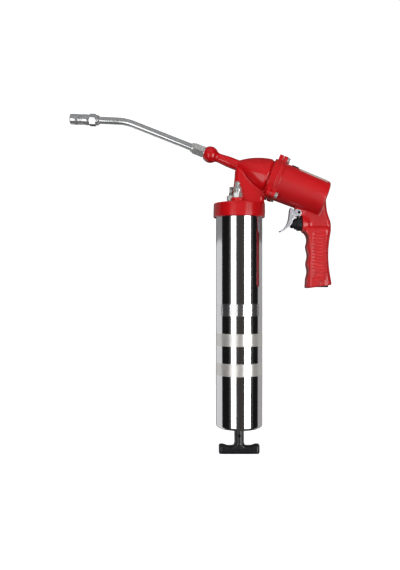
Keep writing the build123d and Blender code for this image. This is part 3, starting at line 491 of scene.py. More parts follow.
def in_chunks(field, points):
    """A field at many points, a part of them at a time to save memory."""
    return np.concatenate([field(part) for part in np.array_split(points, len(points) // CHUNK + 1)])


def outward(field, points, step=0.02):
    """Unit normals of a field at points, from four samples round each."""
    total = np.zeros_like(points)
    for corner in ((1, -1, -1), (-1, -1, 1), (-1, 1, -1), (1, 1, 1)):
        corner = np.array(corner, float)
        total += in_chunks(field, points + step * corner)[:, None] * corner
    return total / np.maximum(np.linalg.norm(total, axis=1, keepdims=True), 1e-12)


def skin(field, low, high, cell):
    """Points, faces and normals of a field's surface, one point in each cell that it crosses."""
    blocks = np.ceil((high - low) / cell / 4).astype(int)
    count, coarse = blocks * 4 + 1, blocks + 1  # a coarse grid of every fourth point finds the surface
    value = in_chunks(field, low + np.argwhere(np.ones(coarse)) * cell * 4).reshape(coarse)
    value = value[np.ix_(*[np.rint(np.arange(n) / 4).astype(int) for n in count])]
    near = np.abs(value) < 5.5 * cell
    value[near] = in_chunks(field, low + np.argwhere(near) * cell)
    cells, crossings = [], []
    for axis in range(3):
        step, side, up = np.roll(np.eye(3, dtype=int), -axis, axis=0)
        start = np.argwhere(np.diff(value < 0, axis=axis))
        first, second = value[tuple(start.T)], value[tuple((start + step).T)]
        share = (first / (first - second))[:, None]
        point = low + cell * (start + share * step)
        corners = np.stack([start - side - up, start - up, start, start - side], 1)
        corners[first > 0] = corners[first > 0][:, ::-1]
        cells.append(corners.reshape(-1, 3))
        crossings.append(np.repeat(point, 4, axis=0))
    cells, crossings = np.concatenate(cells), np.concatenate(crossings)
    if cells.min() < 0:
        raise ValueError("the surface runs out of its grid")
    index = np.unique(np.ravel_multi_index(cells.T, count), return_inverse=True)[1]
    faces = index.reshape(-1, 4)
    hits = np.bincount(index)
    points = np.stack([np.bincount(index, crossings[:, i]) / hits for i in range(3)], 1)
    edges = np.concatenate([faces[:, [i, (i + 1) % 4]] for i in range(4)])
    degree = np.bincount(edges[:, 0], minlength=len(points))
    for turn in range(3):
        normal = outward(field, points)
        points -= in_chunks(field, points)[:, None] * normal
        if turn < 2:
            ends = points[edges[:, 1]].T
            mean = np.stack([np.bincount(edges[:, 0], along, len(points)) / degree for along in ends], 1)
            drift = (mean - points) * 0.6
            points += drift - (drift * normal).sum(1, keepdims=True) * normal
    return points, faces, outward(field, points)


def skinned(name, field, node, cell):
    """An object from a field's surface within a CAD node's box, with exact normals."""
    low, high = (np.array(corner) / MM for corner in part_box(node))
    cell = cell / MM * 1
    points, faces, normals = skin(field, low - SKIN_ROOM, high + SKIN_ROOM, cell)
    mesh = bpy.data.meshes.new(name)
    mesh.from_pydata((points * MM).tolist(), [], faces.tolist())
    mesh.shade_smooth()
    mesh.normals_split_custom_set_from_vertices(normals.tolist())
    return linked(name, mesh)


# ---- Turned and bent shapes, as rings of points ----
class Form:
    """Closed shells gathered into one mesh, in millimetres."""

    def __init__(self):
        self.points, self.faces = [], []

    def wrap(self, loops):
        """Adds a shell over loops of points, closed along and across them."""
        loops = np.array(loops, float)
        index = np.arange(loops[..., 0].size).reshape(loops.shape[:2]) + len(self.points)
        across = np.roll(index, -1, axis=1)
        quads = np.stack([index, across, np.roll(across, -1, axis=0), np.roll(index, -1, axis=0)], -1)
        self.faces += quads.reshape(-1, 4).tolist()
        self.points += loops.reshape(-1, 3).tolist()
        return self

    def turned(self, outline, flats=None, turn=0.0, steps=72):
        """A shell turned about Z from a (radius, height) outline, cut to a hexagon if flats is given."""
        radius, height = (np.repeat([side], steps, axis=0).T for side in np.array(outline, float).T)
        angle = np.arange(steps) / steps * 2 * math.pi
        if flats:
            sixth = math.pi / 6
            radius = np.minimum(radius, flats / 2 / np.cos((angle + sixth) % (math.pi / 3) - sixth))
        angle = angle + math.radians(turn)
        return self.wrap(np.stack([radius * np.cos(angle), radius * np.sin(angle), height], -1))

    def sleeve(self, inner, outer, low, high, steps=40):
        """A plain ring, or a bar where the inner radius is 0."""
        return self.turned([(inner, low), (outer, low), (outer, high), (inner, high)], steps=steps)

    def hexagon(self, flats, low, high, bore, turn=0.0, edge=0.6):
        """A hexagon with turned chamfers at both ends and a bore."""
        corner, flat = flats / math.sqrt(3), flats / 2
        rise = np.linspace(0, 1, 6)
        start = flat - edge * 0.3
        below = [(start + (corner - start) * t, low + edge * 1.2 * t) for t in rise]
        above = [(r, high + low - z) for r, z in reversed(below)]
        return self.turned([(bore, low), *below, *above, (bore, high)], flats, turn, 96)

    def tube(self, path, outer, inner, steps, edge=0.4):
        """A round tube along a path in the XZ plane."""
        path = np.array(path, float)
        ahead = np.gradient(path, axis=0)
        ahead /= np.linalg.norm(ahead, axis=1, keepdims=True)
        angle = np.arange(steps) / steps * 2 * math.pi
        across = np.stack([-ahead[:, 2], np.zeros(len(path)), ahead[:, 0]], 1)

        def loop(i, radius):
            side = np.cos(angle)[:, None] * across[i] + np.sin(angle)[:, None] * np.array((0, 1, 0))
            return path[i] + radius * side

        last = len(path) - 1
        middle = [loop(i, outer) for i in range(1, last)]
        bore = [loop(i, inner) for i in range(last, -1, -1)]
        return self.wrap([loop(0, outer - edge), *middle, loop(last, outer - edge), *bore])

    def made(self, name, place=None, sharp=32):
        """The mesh object of the shells, moved by a matrix, with its doubles merged."""
        mesh = bpy.data.meshes.new(name)
        mesh.from_pydata(self.points, [], self.faces)
        mesh.transform(place or Matrix())
        mesh.transform(Matrix.Scale(MM, 4))
        shape = bmesh.new()
        shape.from_mesh(mesh)
        bmesh.ops.remove_doubles(shape, verts=shape.verts, dist=1e-7)
        bmesh.ops.dissolve_degenerate(shape, edges=shape.edges, dist=1e-7)
        bmesh.ops.recalc_face_normals(shape, faces=shape.faces)
        shape.to_mesh(mesh)
        shape.free()
        mesh.shade_smooth()
        mesh.set_sharp_from_angle(angle=math.radians(sharp))
        return linked(name, mesh)


def linked(name, mesh):
    """A scene object that holds a mesh."""
    made = bpy.data.objects.new(name, mesh)
    bpy.context.scene.collection.objects.link(made)
    return made


def grown(name, recipe, values, material):
    """The plain mesh that a Geometry Nodes recipe grows from its named inputs."""
    tree = bpy.data.node_groups.new(name, "GeometryNodeTree")
    kinds = {float: "NodeSocketFloat", int: "NodeSocketInt", bpy.types.Object: "NodeSocketObject"}
    values = {**values, "Finish": material}
    identifiers = {}
    for label, value in values.items():
        kind = "NodeSocketMaterial" if label == "Finish" else kinds[type(value)]
        identifiers[label] = tree.interface.new_socket(label, in_out="INPUT", socket_type=kind).identifier
    tree.interface.new_socket("Geometry", in_out="OUTPUT", socket_type="NodeSocketGeometry")
    steps = Tree(tree)
    start = tree.nodes.new("NodeGroupInput")
    named = {label: Wire(steps, start.outputs[label]) for label in values}
    shape = steps.node("GeometryNodeRealizeInstances", None, {"Geometry": recipe(steps, named)})
    shape = steps.node("GeometryNodeSetMaterial", None, {"Geometry": shape, "Material": named["Finish"]})
    steps.node("NodeGroupOutput", None, {0: shape})
    holder = linked(name, bpy.data.meshes.new(name))
    modifier = holder.modifiers.new(name, "NODES")
    modifier.node_group = tree
    for label, value in values.items():
        modifier[identifiers[label]] = value
    evaluated = holder.evaluated_get(bpy.context.evaluated_depsgraph_get())
    mesh = bpy.data.meshes.new_from_object(evaluated)
    holder.modifiers.remove(modifier)
    holder.data = mesh
    mesh.name = name
    return holder


def fitted(piece, body, look, *nodes):
    """Gives a piece its finish, puts it on its body and lets it stand for CAD nodes."""
    if not piece.data.materials:
        piece.data.materials.append(finish(look))
    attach(piece, body)
    if nodes:
        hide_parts(*nodes)


# ---- Frames of the gun, in millimetres ----
def shift(x, y, z=0.0):
    return Matrix.Translation((x, y, z))


def spin(angle, axis):
    return Matrix.Rotation(math.radians(angle), 4, axis)


def frame_of(x_axis, y_axis, z_axis, origin):
    matrix = Matrix((x_axis, y_axis, z_axis)).transposed().to_4x4()
    matrix.translation = origin
    return matrix


def pump_frame():
    """The pump frame, with its Z along the pump's axis."""
    up = PUMP_AXIS.cross(Vector((0, 1, 0)))
    return frame_of(up, PUMP_AXIS.cross(up), PUMP_AXIS, (0, 0, sizes().pump_height / MM))


def grip_frame():
    return Matrix.Translation(GRIP_ORIGIN)


def along_x(z):
    """Lays a shape drawn along Z along the grip frame's X, at a height."""
    return grip_frame() @ shift(0, 0, z) @ spin(90, "Y")


def pivot_place():
    """Lays a shape drawn along Z along the trigger's pin, in the grip frame."""
    return Matrix.Translation(PIVOT_IN_GRIP) @ spin(90, "X")


def coupler_frame():
    """The coupler's frame, with Z from its mouth back along the pipe."""
    back, side = -PIPE_AXIS, Vector((0, 1, 0))
    mouth = Vector(MOUNTS["coupler_mouth"]["pos_m"]) / MM - back * 0.8
    return frame_of(side, back.cross(side), back, mouth)


# ---- The castings ----
def with_lugs(body, low, high, fillet):
    for angle in LUG_ANGLES:
        lug = ear(18, LUG_CIRCLE, 4.2, low, high, 0.7).placed(spin(angle, "Z"))
        body = body.join(lug, fillet)
    return body


def with_screw_holes(casting, radius):
    for angle in LUG_ANGLES:
        hole = rod(radius, 30, 60).placed(spin(angle, "Z") @ shift(LUG_CIRCLE, 0))
        casting = casting.cut(hole.placed(pump_frame()))
    return casting


def pump_outline():
    """Half section of the ball end, tube and bell."""
    arc = np.linspace(math.acos(-0.75), math.acos(0.72), 16)
    ball = np.stack([10 * np.sin(arc), -37.5 + 10 * np.cos(arc)], 1)
    neck = through(((ball[-1][0], ball[-1][1]), (5.7, -24), (6.6, -10)), (-0.75, 0.66), (0, 1))
    rim = (sizes().bell_radius / MM, 37.4)
    flare = through(((6.6, -2), (17.15, 16.65), rim), (0.6, 0.8), (0.12, 0.99))
    lip = rounded(flare[-2], (*rim, 3.0), (21, 37.4), (21, 39), (-99, 39))
    return np.concatenate([[(-99, -45)], ball, neck[1:], flare[:-2], lip])


def web_outline(cap_height):
    """Side outline of the neck web, from inside the cap up to the pump tube and the bell."""
    pump = pump_frame()

    def at(station, height):
        point = pump @ Vector((height, 0, station))
        return point.x, point.z

    front = ((-8.6, cap_height - 12), (-8.6, cap_height + 7, 12), (-5.7, 45.7, 12), (-5.0, 56.1, 1))
    rear = ((30, cap_height + 3, 2), (30, cap_height - 12))
    return rounded(*front, at(-2, -3.3), at(42.4, 0), at(42.4, -23.8), *rear)


def head_field():
    s = sizes()
    wide, high = s.cap_radius / MM, s.cap_height / MM
    pump = pump_frame()
    rim = ((-99, 0), (wide - 0.8, 0, 0.2), (wide, 0.8, 0.5))
    cap = turned(rounded(*rim, (wide - 0.45, high, 1.6), (-99, high)))
    web = extruded(web_outline(high), 10.5, 6.0)
    barrel = turned(pump_outline()).join(rod(24.3, 38.6, HEAD_FACE, 0.5), 0.2)
    casting = with_lugs(barrel, 41.3, HEAD_FACE, 1.0).placed(pump).join(web, 0.8).join(cap, 2.5)
    for place, rise in ((FILLER, FILLER_PAD), (BLEEDER, BLEEDER_PAD)):
        pad = rod(8.4, high - 4, high + rise, 0.8).placed(shift(*place))
        casting = casting.join(pad, 1.2)
        casting = casting.cut(rod(PASSAGE, -5, high + 9).placed(shift(*place)))
    hollow = turned(rounded((-99, 20), (14.5, 20, 2), (18.3, 29, 2), (18.3, 60), (-99, 60)))
    bores = (rod(PASSAGE, -34, 25), rod(5.05, -60, -31), rod(3.8, -33, -27), rod(6.05, 12, 25))
    for shape in (hollow, *bores):
        casting = casting.cut(shape.placed(pump), 0.25)
    casting = with_screw_holes(casting, 2.15)
    casting = casting.cut(rod(s.barrel_radius / MM - 0.22, -20, 14), 0.3)
    return casting.cut(rod(PASSAGE, 0, s.pump_height / MM))


def grip_outline():
    """Side outline of the grip before its finger grooves."""
    front = through(((0, -26.1), (3.8, -40.3), (5.0, -64.45), (3.8, -94.2)), (0, -1), (-0.12, -1))
    bends = ((31.2, -50), (32.4, -36.7), (34.3, -24), (34.7, -16.5), (32.2, -8), (30.0, 0))
    back = through(((35.4, -89.8), *bends, (29.0, 20)), (-0.2, 1), (0, 1))
    return np.concatenate([[(0, 20)], front, [(1.9, -110), (39.4, -110)], back])


def foot_at(x):
    """Height of the grip's foot at x, in the grip frame."""
    return -94.2 + 4.4 * (x - 3.8) / 31.6


def grip_field():
    """The palm and the arm that carries the trigger, in the grip frame."""
    half = sizes().grip_width / MM / 2
    palm = extruded(grip_outline(), half, 7.4)
    foot = extruded(rounded((-9, foot_at(-9)), (60, foot_at(60)), (60, 20), (-9, 20)), 40)
    palm = palm.cut(Field(lambda p: -foot(p)), 2.2)
    finger_radius, finger_pitch = 12, 19.3
    for index in range(3):
        finger = shift(-5.2, 0, -35.5 - finger_pitch * index) @ spin(90, "X")
        palm = palm.cut(rod(finger_radius, -30, 30).placed(finger), 1.4)
    for side in (-1, 1):
        palm = palm.cut(block((17, side * 17.5, 10.3), (120, 20, 60)), 4.6)
        panel = (PANEL_IN_GRIP.x, side * (half + 4.2), PANEL_IN_GRIP.z)
        palm = palm.cut(block(panel, (17.8, 10, 55.4), 2.5), 0.4)
    top = foot_at(INLET_X) + 8
    left, right = INLET_X - 5.7, INLET_X + 5.7
    arch = extruded(rounded((left, -110), (left, top, 5.69), (right, top, 5.69), (right, -110)), 40)
    drum = rod(half - 0.4, -120, -60).placed(shift(INLET_X, 0))
    palm = palm.cut(arch.cut(drum), 0.3)
    boss = turned(rounded((-99, 0.02), (11.4, 0.02, 0.8), (10.2, 6.2, 3), (5.0, 13), (-99, 13)))
    palm = palm.join(boss.placed(shift(0, 0, VALVE_Z) @ spin(90, "Y")), 1.5)
    arm = extruded(rounded((-8.5, -6.8, 4.2), (4.2, -6.8), (4.2, 7), (-8.5, 7)), 6.0, 0.5)
    return palm, arm


def cylinder_field():
    s = sizes()
    radius, end = s.cylinder_radius / MM, s.cylinder_end / MM
    ring = ((-99, RING_FACE), (24.3, RING_FACE, 0.4), (24.3, 51.2, 0.6), (radius, 51.6, 0.5))
    shell = turned(rounded(*ring, (radius - 1.41, end, 2.5), (-99, end)))
    palm, arm = grip_field()
    pump, grip = pump_frame(), grip_frame()
    casting = with_lugs(shell, RING_FACE, 51.8, 1.0).placed(pump)
    casting = casting.join(arm.placed(grip), 0.8).join(palm.placed(grip), 1.8)
    air_bore, bore_end = 19, 104.2
    casting = casting.cut(rod(air_bore, 30, bore_end).placed(pump), 0.3)
    casting = with_screw_holes(casting, 2.25)
    chamber = rod(6.6, -5, 19).placed(along_x(VALVE_Z))
    socket = rod(7.35, -110, foot_at(INLET_X) + 12).placed(grip @ shift(INLET_X, 0))
    vent = rod(2, 15, 30).placed(pump @ shift(0, 0, 63.8) @ spin(90, "Y"))
    pivot = rod(PIVOT_BORE, -20, 20).placed(grip @ pivot_place())
    return casting.cut(chamber, 0.3).cut(socket, 0.3).cut(vent).cut(pivot)


class GREASEGUN_OT_head(bpy.types.Operator):
    """Cap, neck, pump tube and bell, cast in one and enamelled"""

    bl_idname = "grease_gun.head"
    bl_label = "Head Casting"

    def execute(self, context):
        shell = skinned("head_shell", head_field(), "head_casting", sizes().casting_cell)
        fitted(shell, "gun", "red_gloss", "head_casting")
        return {"FINISHED"}


class GREASEGUN_OT_grip(bpy.types.Operator):
    """Air cylinder and pistol grip, cast in one, with the ribs of its panels"""

    bl_idname = "grease_gun.grip"
    bl_label = "Cylinder and Grip"

    def execute(self, context):
        s = sizes()
        shell = skinned("cylinder_and_grip_shell", cylinder_field(), "cylinder_and_grip", s.casting_cell)
        fitted(shell, "gun", "red_satin", "cylinder_and_grip")
        values = {
            "Count": 13,
            "Pitch": float(s.rib_pitch),
            "Crest": float(s.rib_radius),
            "Length": 17.0 * MM,
            "Half Width": float(s.grip_width / 2 - s.rib_radius),
        }
        ribs = grown("grip_ribs", rib_recipe, values, finish("red_satin"))
        ribs.data.transform(Matrix.Translation((GRIP_ORIGIN + PANEL_IN_GRIP) * MM))
        fitted(ribs, "gun", "red_satin")
        return {"FINISHED"}


def rib_recipe(steps, named):
    """Rows of round-crested ribs on both sides of the grip."""
    size = {"Vertices": 16, "Radius": named["Crest"], "Depth": named["Length"]}
    rib = steps.node("GeometryNodeMeshCylinder", None, size)
    rib = steps.node("GeometryNodeTransform", None, {"Geometry": rib, "Rotation": (0, math.pi / 2, 0)})
    rib = steps.node("GeometryNodeSetShadeSmooth", None, {"Geometry": rib})
    span = (named["Count"] - 1) * named["Pitch"]
    rows = []
    for side in (-1, 1):
        start = steps.vector(Y=named["Half Width"] * side, Z=span * -0.5)
        row = {"Count": named["Count"], "Start Location": start, "Offset": steps.vector(Z=named["Pitch"])}
        line = steps.node("GeometryNodeMeshLine", None, row)
        rows.append(steps.node("GeometryNodeInstanceOnPoints", None, {"Points": line, "Instance": rib}))
    both = steps.node("GeometryNodeJoinGeometry", None, {"Geometry": rows[0]})
    steps.tree.links.new(rows[1].socket, both.socket.node.inputs["Geometry"])
    return both


# ---- Barrel ----
def knurl_recipe(steps, named):
    """A closed ring whose outer face is cut into diamonds."""
    count, rows = named["Count"], named["Rows"]
    size = {"Size X": 1.0, "Size Y": 1.0, "Vertices X": count * 4 + 1, "Vertices Y": rows * 5 + 1}
    grid = steps.node("GeometryNodeMeshGrid", None, size)
    place = steps.node("GeometryNodeInputPosition")
    x, y = (steps.node("ShaderNodeSeparateXYZ", None, {0: place}, output=axis) + 0.5 for axis in "XY")
    outer = y < 0.7999
    share = y * 1.25
    inner = (y - 0.8) * 5
    first = (x * count + share * rows).triangle()
    second = (x * count - share * rows).triangle()
    taper = (share.least(1 - share) * 14).least(1.0)
    proud = first.least(second) * taper * named["Relief"]
    sunk = (inner * math.pi).math("SINE", inner * math.pi) * (0.6 * MM)
    radius = named["Radius"] + outer * proud - (1 - outer) * sunk
    height = (outer * (share - 0.5) + (1 - outer) * (0.5 - inner)) * named["Width"]
    moved = steps.on_circle(x * (2 * math.pi), radius, height + named["Middle"])
    ring = steps.node("GeometryNodeSetPosition", None, {"Geometry": grid, "Position": moved})
    return steps.node("GeometryNodeMergeByDistance", None, {"Geometry": ring, "Distance": 0.00001})


class GREASEGUN_OT_barrel(bpy.types.Operator):
    """Chromed barrel with its rolled end and three knurled bands"""

    bl_idname = "grease_gun.barrel"
    bl_label = "Barrel"

    def execute(self, context):
        s = sizes()
        radius, wall, drop = s.barrel_radius / MM, s.barrel_wall / MM, s.barrel_drop / MM
        inner, hole, screwed = radius - wall, 6.05, radius - 0.3
        outside = ((radius - 2.6, -drop + 0.5, 0.5), (radius, -drop + 0.6, 3.0), (radius, -0.2))
        thread = ((screwed, 0.0), (screwed, 13.0, 0.4), (inner, 13.0, 0.3))
        end = ((inner, -drop + wall, 2.8), (hole, -drop + wall))
        outline = rounded((hole, -drop), (radius - 3.2, -drop, 0.6), *outside, *thread, *end)
        tube = Form().turned(outline, steps=192).made("barrel_shell", sharp=40)
        fitted(tube, "gun", "chrome_barrel", "barrel_tube")
        for index, look in enumerate(("knurl_worn", "knurl_satin", "knurl_satin")):
            values = {
                "Radius": float(s.barrel_radius + 0.06 * MM),
                "Middle": float(-s.band_first - index * s.band_pitch),
                "Width": float(s.band_width),
                "Relief": float(s.knurl_relief),
                "Count": s.knurl_count,
                "Rows": s.knurl_rows,
            }
            band = grown(f"knurled_band_{index + 1}", knurl_recipe, values, finish(look))
            fitted(band, "gun", look)
        return {"FINISHED"}


# ---- Screws ----
def screw_recipe(steps, named):
    """Screws on their circle: one on top and two spread about the bottom."""
    index = steps.node("GeometryNodeInputIndex")
    top = index < 0.5
    angle = (1 - top) * (math.pi + (index * 2 - 3) * named["Spread"])
    place = {"Count": named["Count"], "Position": steps.on_circle(angle, named["Circle"])}
    points = steps.node("GeometryNodePoints", None, place)
    screw = steps.node("GeometryNodeObjectInfo", None, {"Object": named["Form"]}, output="Geometry")
    return steps.node("GeometryNodeInstanceOnPoints", None, {"Points": points, "Instance": screw})


class GREASEGUN_OT_screws(bpy.types.Operator):
    """Socket screws and washers that hold the cylinder on the head"""

    bl_idname = "grease_gun.screws"
    bl_label = "Flange Screws"

    def execute(self, context):
        head = 52.6
        top, socket = head + 2.6, head + 0.9
        shank = ((0, 41.35), (1.9, 41.35, 0.3), (1.9, head))
        crown = ((3.5, head, 0.2), (3.5, top, 0.6), (1.6, top), (1.5, socket), (0, socket))
        screw = Form().turned(rounded(*shank, *crown), steps=36)
        low, high = head - 0.8, head - 0.02  # the washer sits just under the screw's head
        ring = rounded((2.1, low), (3.8, low, 0.2), (3.8, high, 0.2), (2.1, high))
        washer = Form().turned(ring, steps=36)
        pieces = (("socket_screws", screw, "flange_screws"), ("spring_washers", washer, "screw_washers"))
        for name, form, node in pieces:
            model = form.made(f"{name}_form")
            values = {"Circle": LUG_CIRCLE * MM, "Spread": math.radians(44), "Count": 3, "Form": model}
            kept = grown(name, screw_recipe, values, finish("zinc_steel"))
            bpy.data.objects.remove(model)
            place = pump_frame()
            place.translation *= MM
            kept.data.transform(place)
            fitted(kept, "gun", "zinc_steel", node)
        return {"FINISHED"}


# ---- Fittings on the head ----
class GREASEGUN_OT_fittings(bpy.types.Operator):
    """Outlet adapter, filler nipple and bleeder valve"""

    bl_idname = "grease_gun.fittings"
    bl_label = "Fittings"

    def execute(self, context):
        top = sizes().cap_height / MM
        adapter = Form().hexagon(13, -58.8, -46, 4.3, 8)
        nose = rounded((4.3, -62.2), (5.1, -62.2, 0.3), (5.8, -61.5, 0.3), (5.8, -58.6), (4.3, -58.6))
        adapter.turned(nose, steps=64)
        stem = [(2.4, -51.1), (4.4, -51.1), (4.4, -46.2), (4.95, -46.2), (4.95, -37), (2.4, -37)]
        adapter.turned(stem, steps=48)
        fitted(adapter.made("outlet_hexagon", pump_frame()), "gun", "zinc_steel", "outlet_adapter")

        base = top + FILLER_PAD
        tip, shoulder = base + 19.6, base + 6.3
        nipple = Form().hexagon(10, base, shoulder, 1.55, 12)
        foot = ((1.55, shoulder - 0.3), (4.2, shoulder - 0.3), (4.2, shoulder + 1.2, 0.2))
        belly = ((5, shoulder + 2, 0.3), (5, shoulder + 4.4, 0.8), (3.3, tip - 5.4, 0.8))
        waist = ((2.4, tip - 4.6, 0.4), (3.3, tip - 3.4, 0.4), (3.3, tip - 2.4, 0.4))
        mouth = ((1.7, tip, 0.4), (0.95, tip), (0.95, tip - 2.2), (1.55, tip - 3))
        nipple.turned(rounded(*foot, *belly, *waist, *mouth), steps=56)
        nipple.sleeve(1.55, 2.95, THREAD_FOOT, base + 0.1)
        fitted(nipple.made("filler_nipple", shift(*FILLER)), "gun", "zinc_steel", "filler_body")

        base = top + BLEEDER_PAD
        high = base + 8.3
        collar = ((6.2, base, 0.2), (6.2, base + 1.2, 0.4), (5.0, base + 2.4, 0.3))
        valve = Form().turned(rounded((2.1, base), *collar, (2.1, base + 2.4)), steps=56)
        valve.hexagon(10, base + 2.2, high, 2.1, 20)
        valve.sleeve(2.1, 2.95, THREAD_FOOT, base + 0.1)
        fitted(valve.made("bleeder_hexagon", shift(*BLEEDER)), "gun", "zinc_steel", "bleeder_body")
        low, tip = high + 4.0, high + 11.1
        pin = Form().turned(rounded((0, low), (2.4, low, 0.3), (2.4, tip, 0.9), (0, tip)), steps=56)
        pin.sleeve(0, 1.98, 11.45, high + 4.1).sleeve(0, 3.6, 11.4, 12.98)
        fitted(pin.made("bleeder_button", shift(*BLEEDER)), "bleeder", "zinc_steel", "bleeder_pin")
        return {"FINISHED"}


# ---- Pipe and coupler ----
class GREASEGUN_OT_pipe(bpy.types.Operator):
    """Bent steel delivery pipe"""

    bl_idname = "grease_gun.pipe"
    bl_label = "Delivery Pipe"

    def execute(self, context):
        s = sizes()
        start, corner = (np.array(pump_frame() @ Vector((0, 0, z))) for z in (-51.2, -147.2))
        end = np.array(coupler_frame().translation) + np.array(-PIPE_AXIS) * 27.6
        first, second = unit(start - corner), unit(end - corner)
        arc = corner_arc(first, corner, second, s.bend_radius / MM, 26)
        before = (start, start - first * 0.5, start + (arc[0] - start) * 0.5)
        after = (arc[-1] + (end - arc[-1]) * 0.5, end - second * 0.5, end)
        pipe = Form().tube([*before, *arc, *after], s.pipe_radius / MM, 2.0, 64)
        fitted(pipe.made("bent_pipe"), "gun", "nickel_pipe", "delivery_pipe")
        return {"FINISHED"}


class GREASEGUN_OT_coupler(bpy.types.Operator):
    """Grease coupler: grooved sleeve, turned body and hexagon"""

    bl_idname = "grease_gun.coupler"
    bl_label = "Coupler"

    def execute(self, context):
        spigot = ((2.2, 23.6), (2.2, 21.1), (5.0, 21.1))
        barrel = ((5.0, 10.0), (5.55, 10.0), (5.55, 15.1), (6.4, 15.1, 0.4), (6.4, 23.6, 0.5))
        body = Form().turned(rounded(*barrel, *spigot))
        body.hexagon(13.2, 23.5, 31.5, 4.3, 20, 0.7).sleeve(2.2, 4.4, 23.4, 27.5, 48)
        body.turned(rounded((4.3, 31.3), (6.2, 31.3), (6.2, 33.6, 0.5), (4.8, 35.6, 0.4), (4.3, 35.6)))
        fitted(body.made("coupler_shank", coupler_frame()), "gun", "nickel_pipe", "coupler_body")
        grooves, pitch = [], 1.1
        for index in range(4):
            z = 10.6 + index * pitch
            grooves += [(6.12, z), (6.35, z + 0.25), (6.35, z + 0.6), (6.12, z + 0.85)]
        mouth = ((4.8, 0), (5.6, 0, 0.3), (6.4, 0.8, 0.4), (6.4, 9.7, 0.2), (6.12, 9.8, 0.1), (6.12, 10.2))
        bore = ((6.12, 15.08), (5.65, 15.08), (5.65, 8.8), (4.95, 8.8), (4.95, 4.0), (4.0, 2.5), (4.0, 0.8))
        sleeve = Form().turned([*rounded(*mouth, steps=4), *grooves, *bore])
        fitted(sleeve.made("coupler_nose", coupler_frame()), "gun", "nickel_pipe", "coupler_sleeve")
        return {"FINISHED"}


# ---- Trigger and valve ----
def lever_line(top, tip, shifted):
    """The lever's front line, from its top to its tip, moved back for the inner face."""
    points = ((-15.4, -5.1), (-17.2, -14.1), (-21.0, -20.5))
    line = [(x + shifted, z - shifted * 0.35) for x, z in (top, *points, tip)]
    return through(line, (-0.35, -1), (-1, -0.35), 6)


def lever_field():
    """Pressed lever: a curved plate between two cheeks."""
    top, tip = (-14.0, 3.3), (-28.2, -25.2)
    blade = ((-27.7, -26.8, 0.5), (-20.0, -23.1, 3), (-15.8, -20.3, 3), (-12.8, -16.1, 4), (-11.0, -10.7, 3))
    cheek = ((-8.6, -7.6, 3), (-2.5, -7.0, 2.5), (-0.9, -4.0, 2), (-1.3, -0.4, 2), (-8.0, 2.0, 4))
    side = np.concatenate([lever_line(top, tip, 0), rounded(*blade, *cheek, steps=4)])
    inner_line = lever_line((top[0] + 0.6, top[1] + 3), (-22.0, -22.3), 1.6)
    low, high = inner_line[-1], inner_line[0]
    inner = np.concatenate([inner_line, [(low[0] + 4, low[1] - 6), (8, low[1] - 6), (8, high[1])]])
    lever = extruded(side, 8.0, 0.7).cut(extruded(inner, 6.6, 0.6), 0.3)
    return lever.cut(rod(PIVOT_BORE, -20, 20).placed(pivot_place())).placed(grip_frame())


class GREASEGUN_OT_trigger(bpy.types.Operator):
    """Chromed trigger on its pin"""

    bl_idname = "grease_gun.trigger"
    bl_label = "Trigger"

    def execute(self, context):
        lever = skinned("trigger_lever", lever_field(), "trigger", sizes().small_cell)
        fitted(lever, "trigger", "chrome_lever", "trigger")
        groove = ((1.5, -8.95), (1.0, -8.95), (1.0, -8.05), (1.5, -8.05))
        outline = rounded((0, -9.7), (1.5, -9.7, 0.3), *groove, (1.5, 8.1, 0.3), (0, 8.1))
        pin = Form().turned(outline, steps=40).made("hinge_pin", grip_frame() @ pivot_place())
        fitted(pin, "gun", "dark_steel", "trigger_pin")
        return {"FINISHED"}


class GREASEGUN_OT_valve(bpy.types.Operator):
    """Black valve nut and the button that the trigger presses"""

    bl_idname = "grease_gun.valve"
    bl_label = "Valve"

    def execute(self, context):
        place = along_x(VALVE_Z)
        front = -9.2
        nose = ((2.1, front + 4.7), (5.25, front + 4.7), (5.25, front, 0.2), (6.8, front, 0.5))
        flange = ((6.8, -6.2), (8.5, -6.2, 0.6), (8.5, -0.02, 0.3), (6.5, -0.02))
        stub = ((6.5, 10, 0.4), (3.2, 10), (3.2, 0.5), (2.1, 0.5))
        nut = Form().turned(rounded(*nose, *flange, *stub))
        fitted(nut.made("valve_nut", place), "gun", "black_plastic", "valve_body")
        cup = ((0, -14.2), (5.2, -14.2, 1.6), (5.2, -8.2, 0.2), (2.1, -8.2), (2.1, -12.2), (0, -12.2))
        button = Form().turned(rounded(*cup), steps=56)
        fitted(button.made("valve_push", place), "valve", "black_plastic", "valve_button")
        return {"FINISHED"}


# ---- Handle ----
def handle_field():
    """T-handle: grooved stem on a bar with flared ends."""
    top = -sizes().barrel_drop / MM - 0.3
    crest, end = top - 22, 24.7
    low, horn = crest - 10, crest + 1.8
    right = through(((19.7, horn), (13.6, crest), (8.9, crest)), (-1, -0.2), (-1, 0), 8)
    turn = np.linspace(0, math.pi / 2, 7)
    right = np.concatenate([right, np.stack([8.9 - 3 * np.sin(turn), crest + 3 - 3 * np.cos(turn)], 1)[1:]])
    left = right[::-1] * (-1, 1)
    under = rounded((-end, horn, 2.4), (-end, low, 2.4), (end, low, 2.4), (end, horn, 2.4))
    bar = np.concatenate([under, right, left])
    shape = extruded(bar, 6.0, 3.8).join(rod(5.9, crest - 4, top, 0.5), 1.0)
    for angle in (45, 135, 225, 315):
        groove = rod(1.2, crest + 0.8, top + 5).placed(spin(angle, "Z") @ shift(5.9, 0))
        shape = shape.cut(groove, 0.3)
    cross = rod(1.6, -20, 20).placed(shift(0, 0, top + 0.3 - 9.9) @ spin(90, "X"))
    return shape.cut(rod(4.06, top - 19.5, top + 5), 0.2).cut(cross)


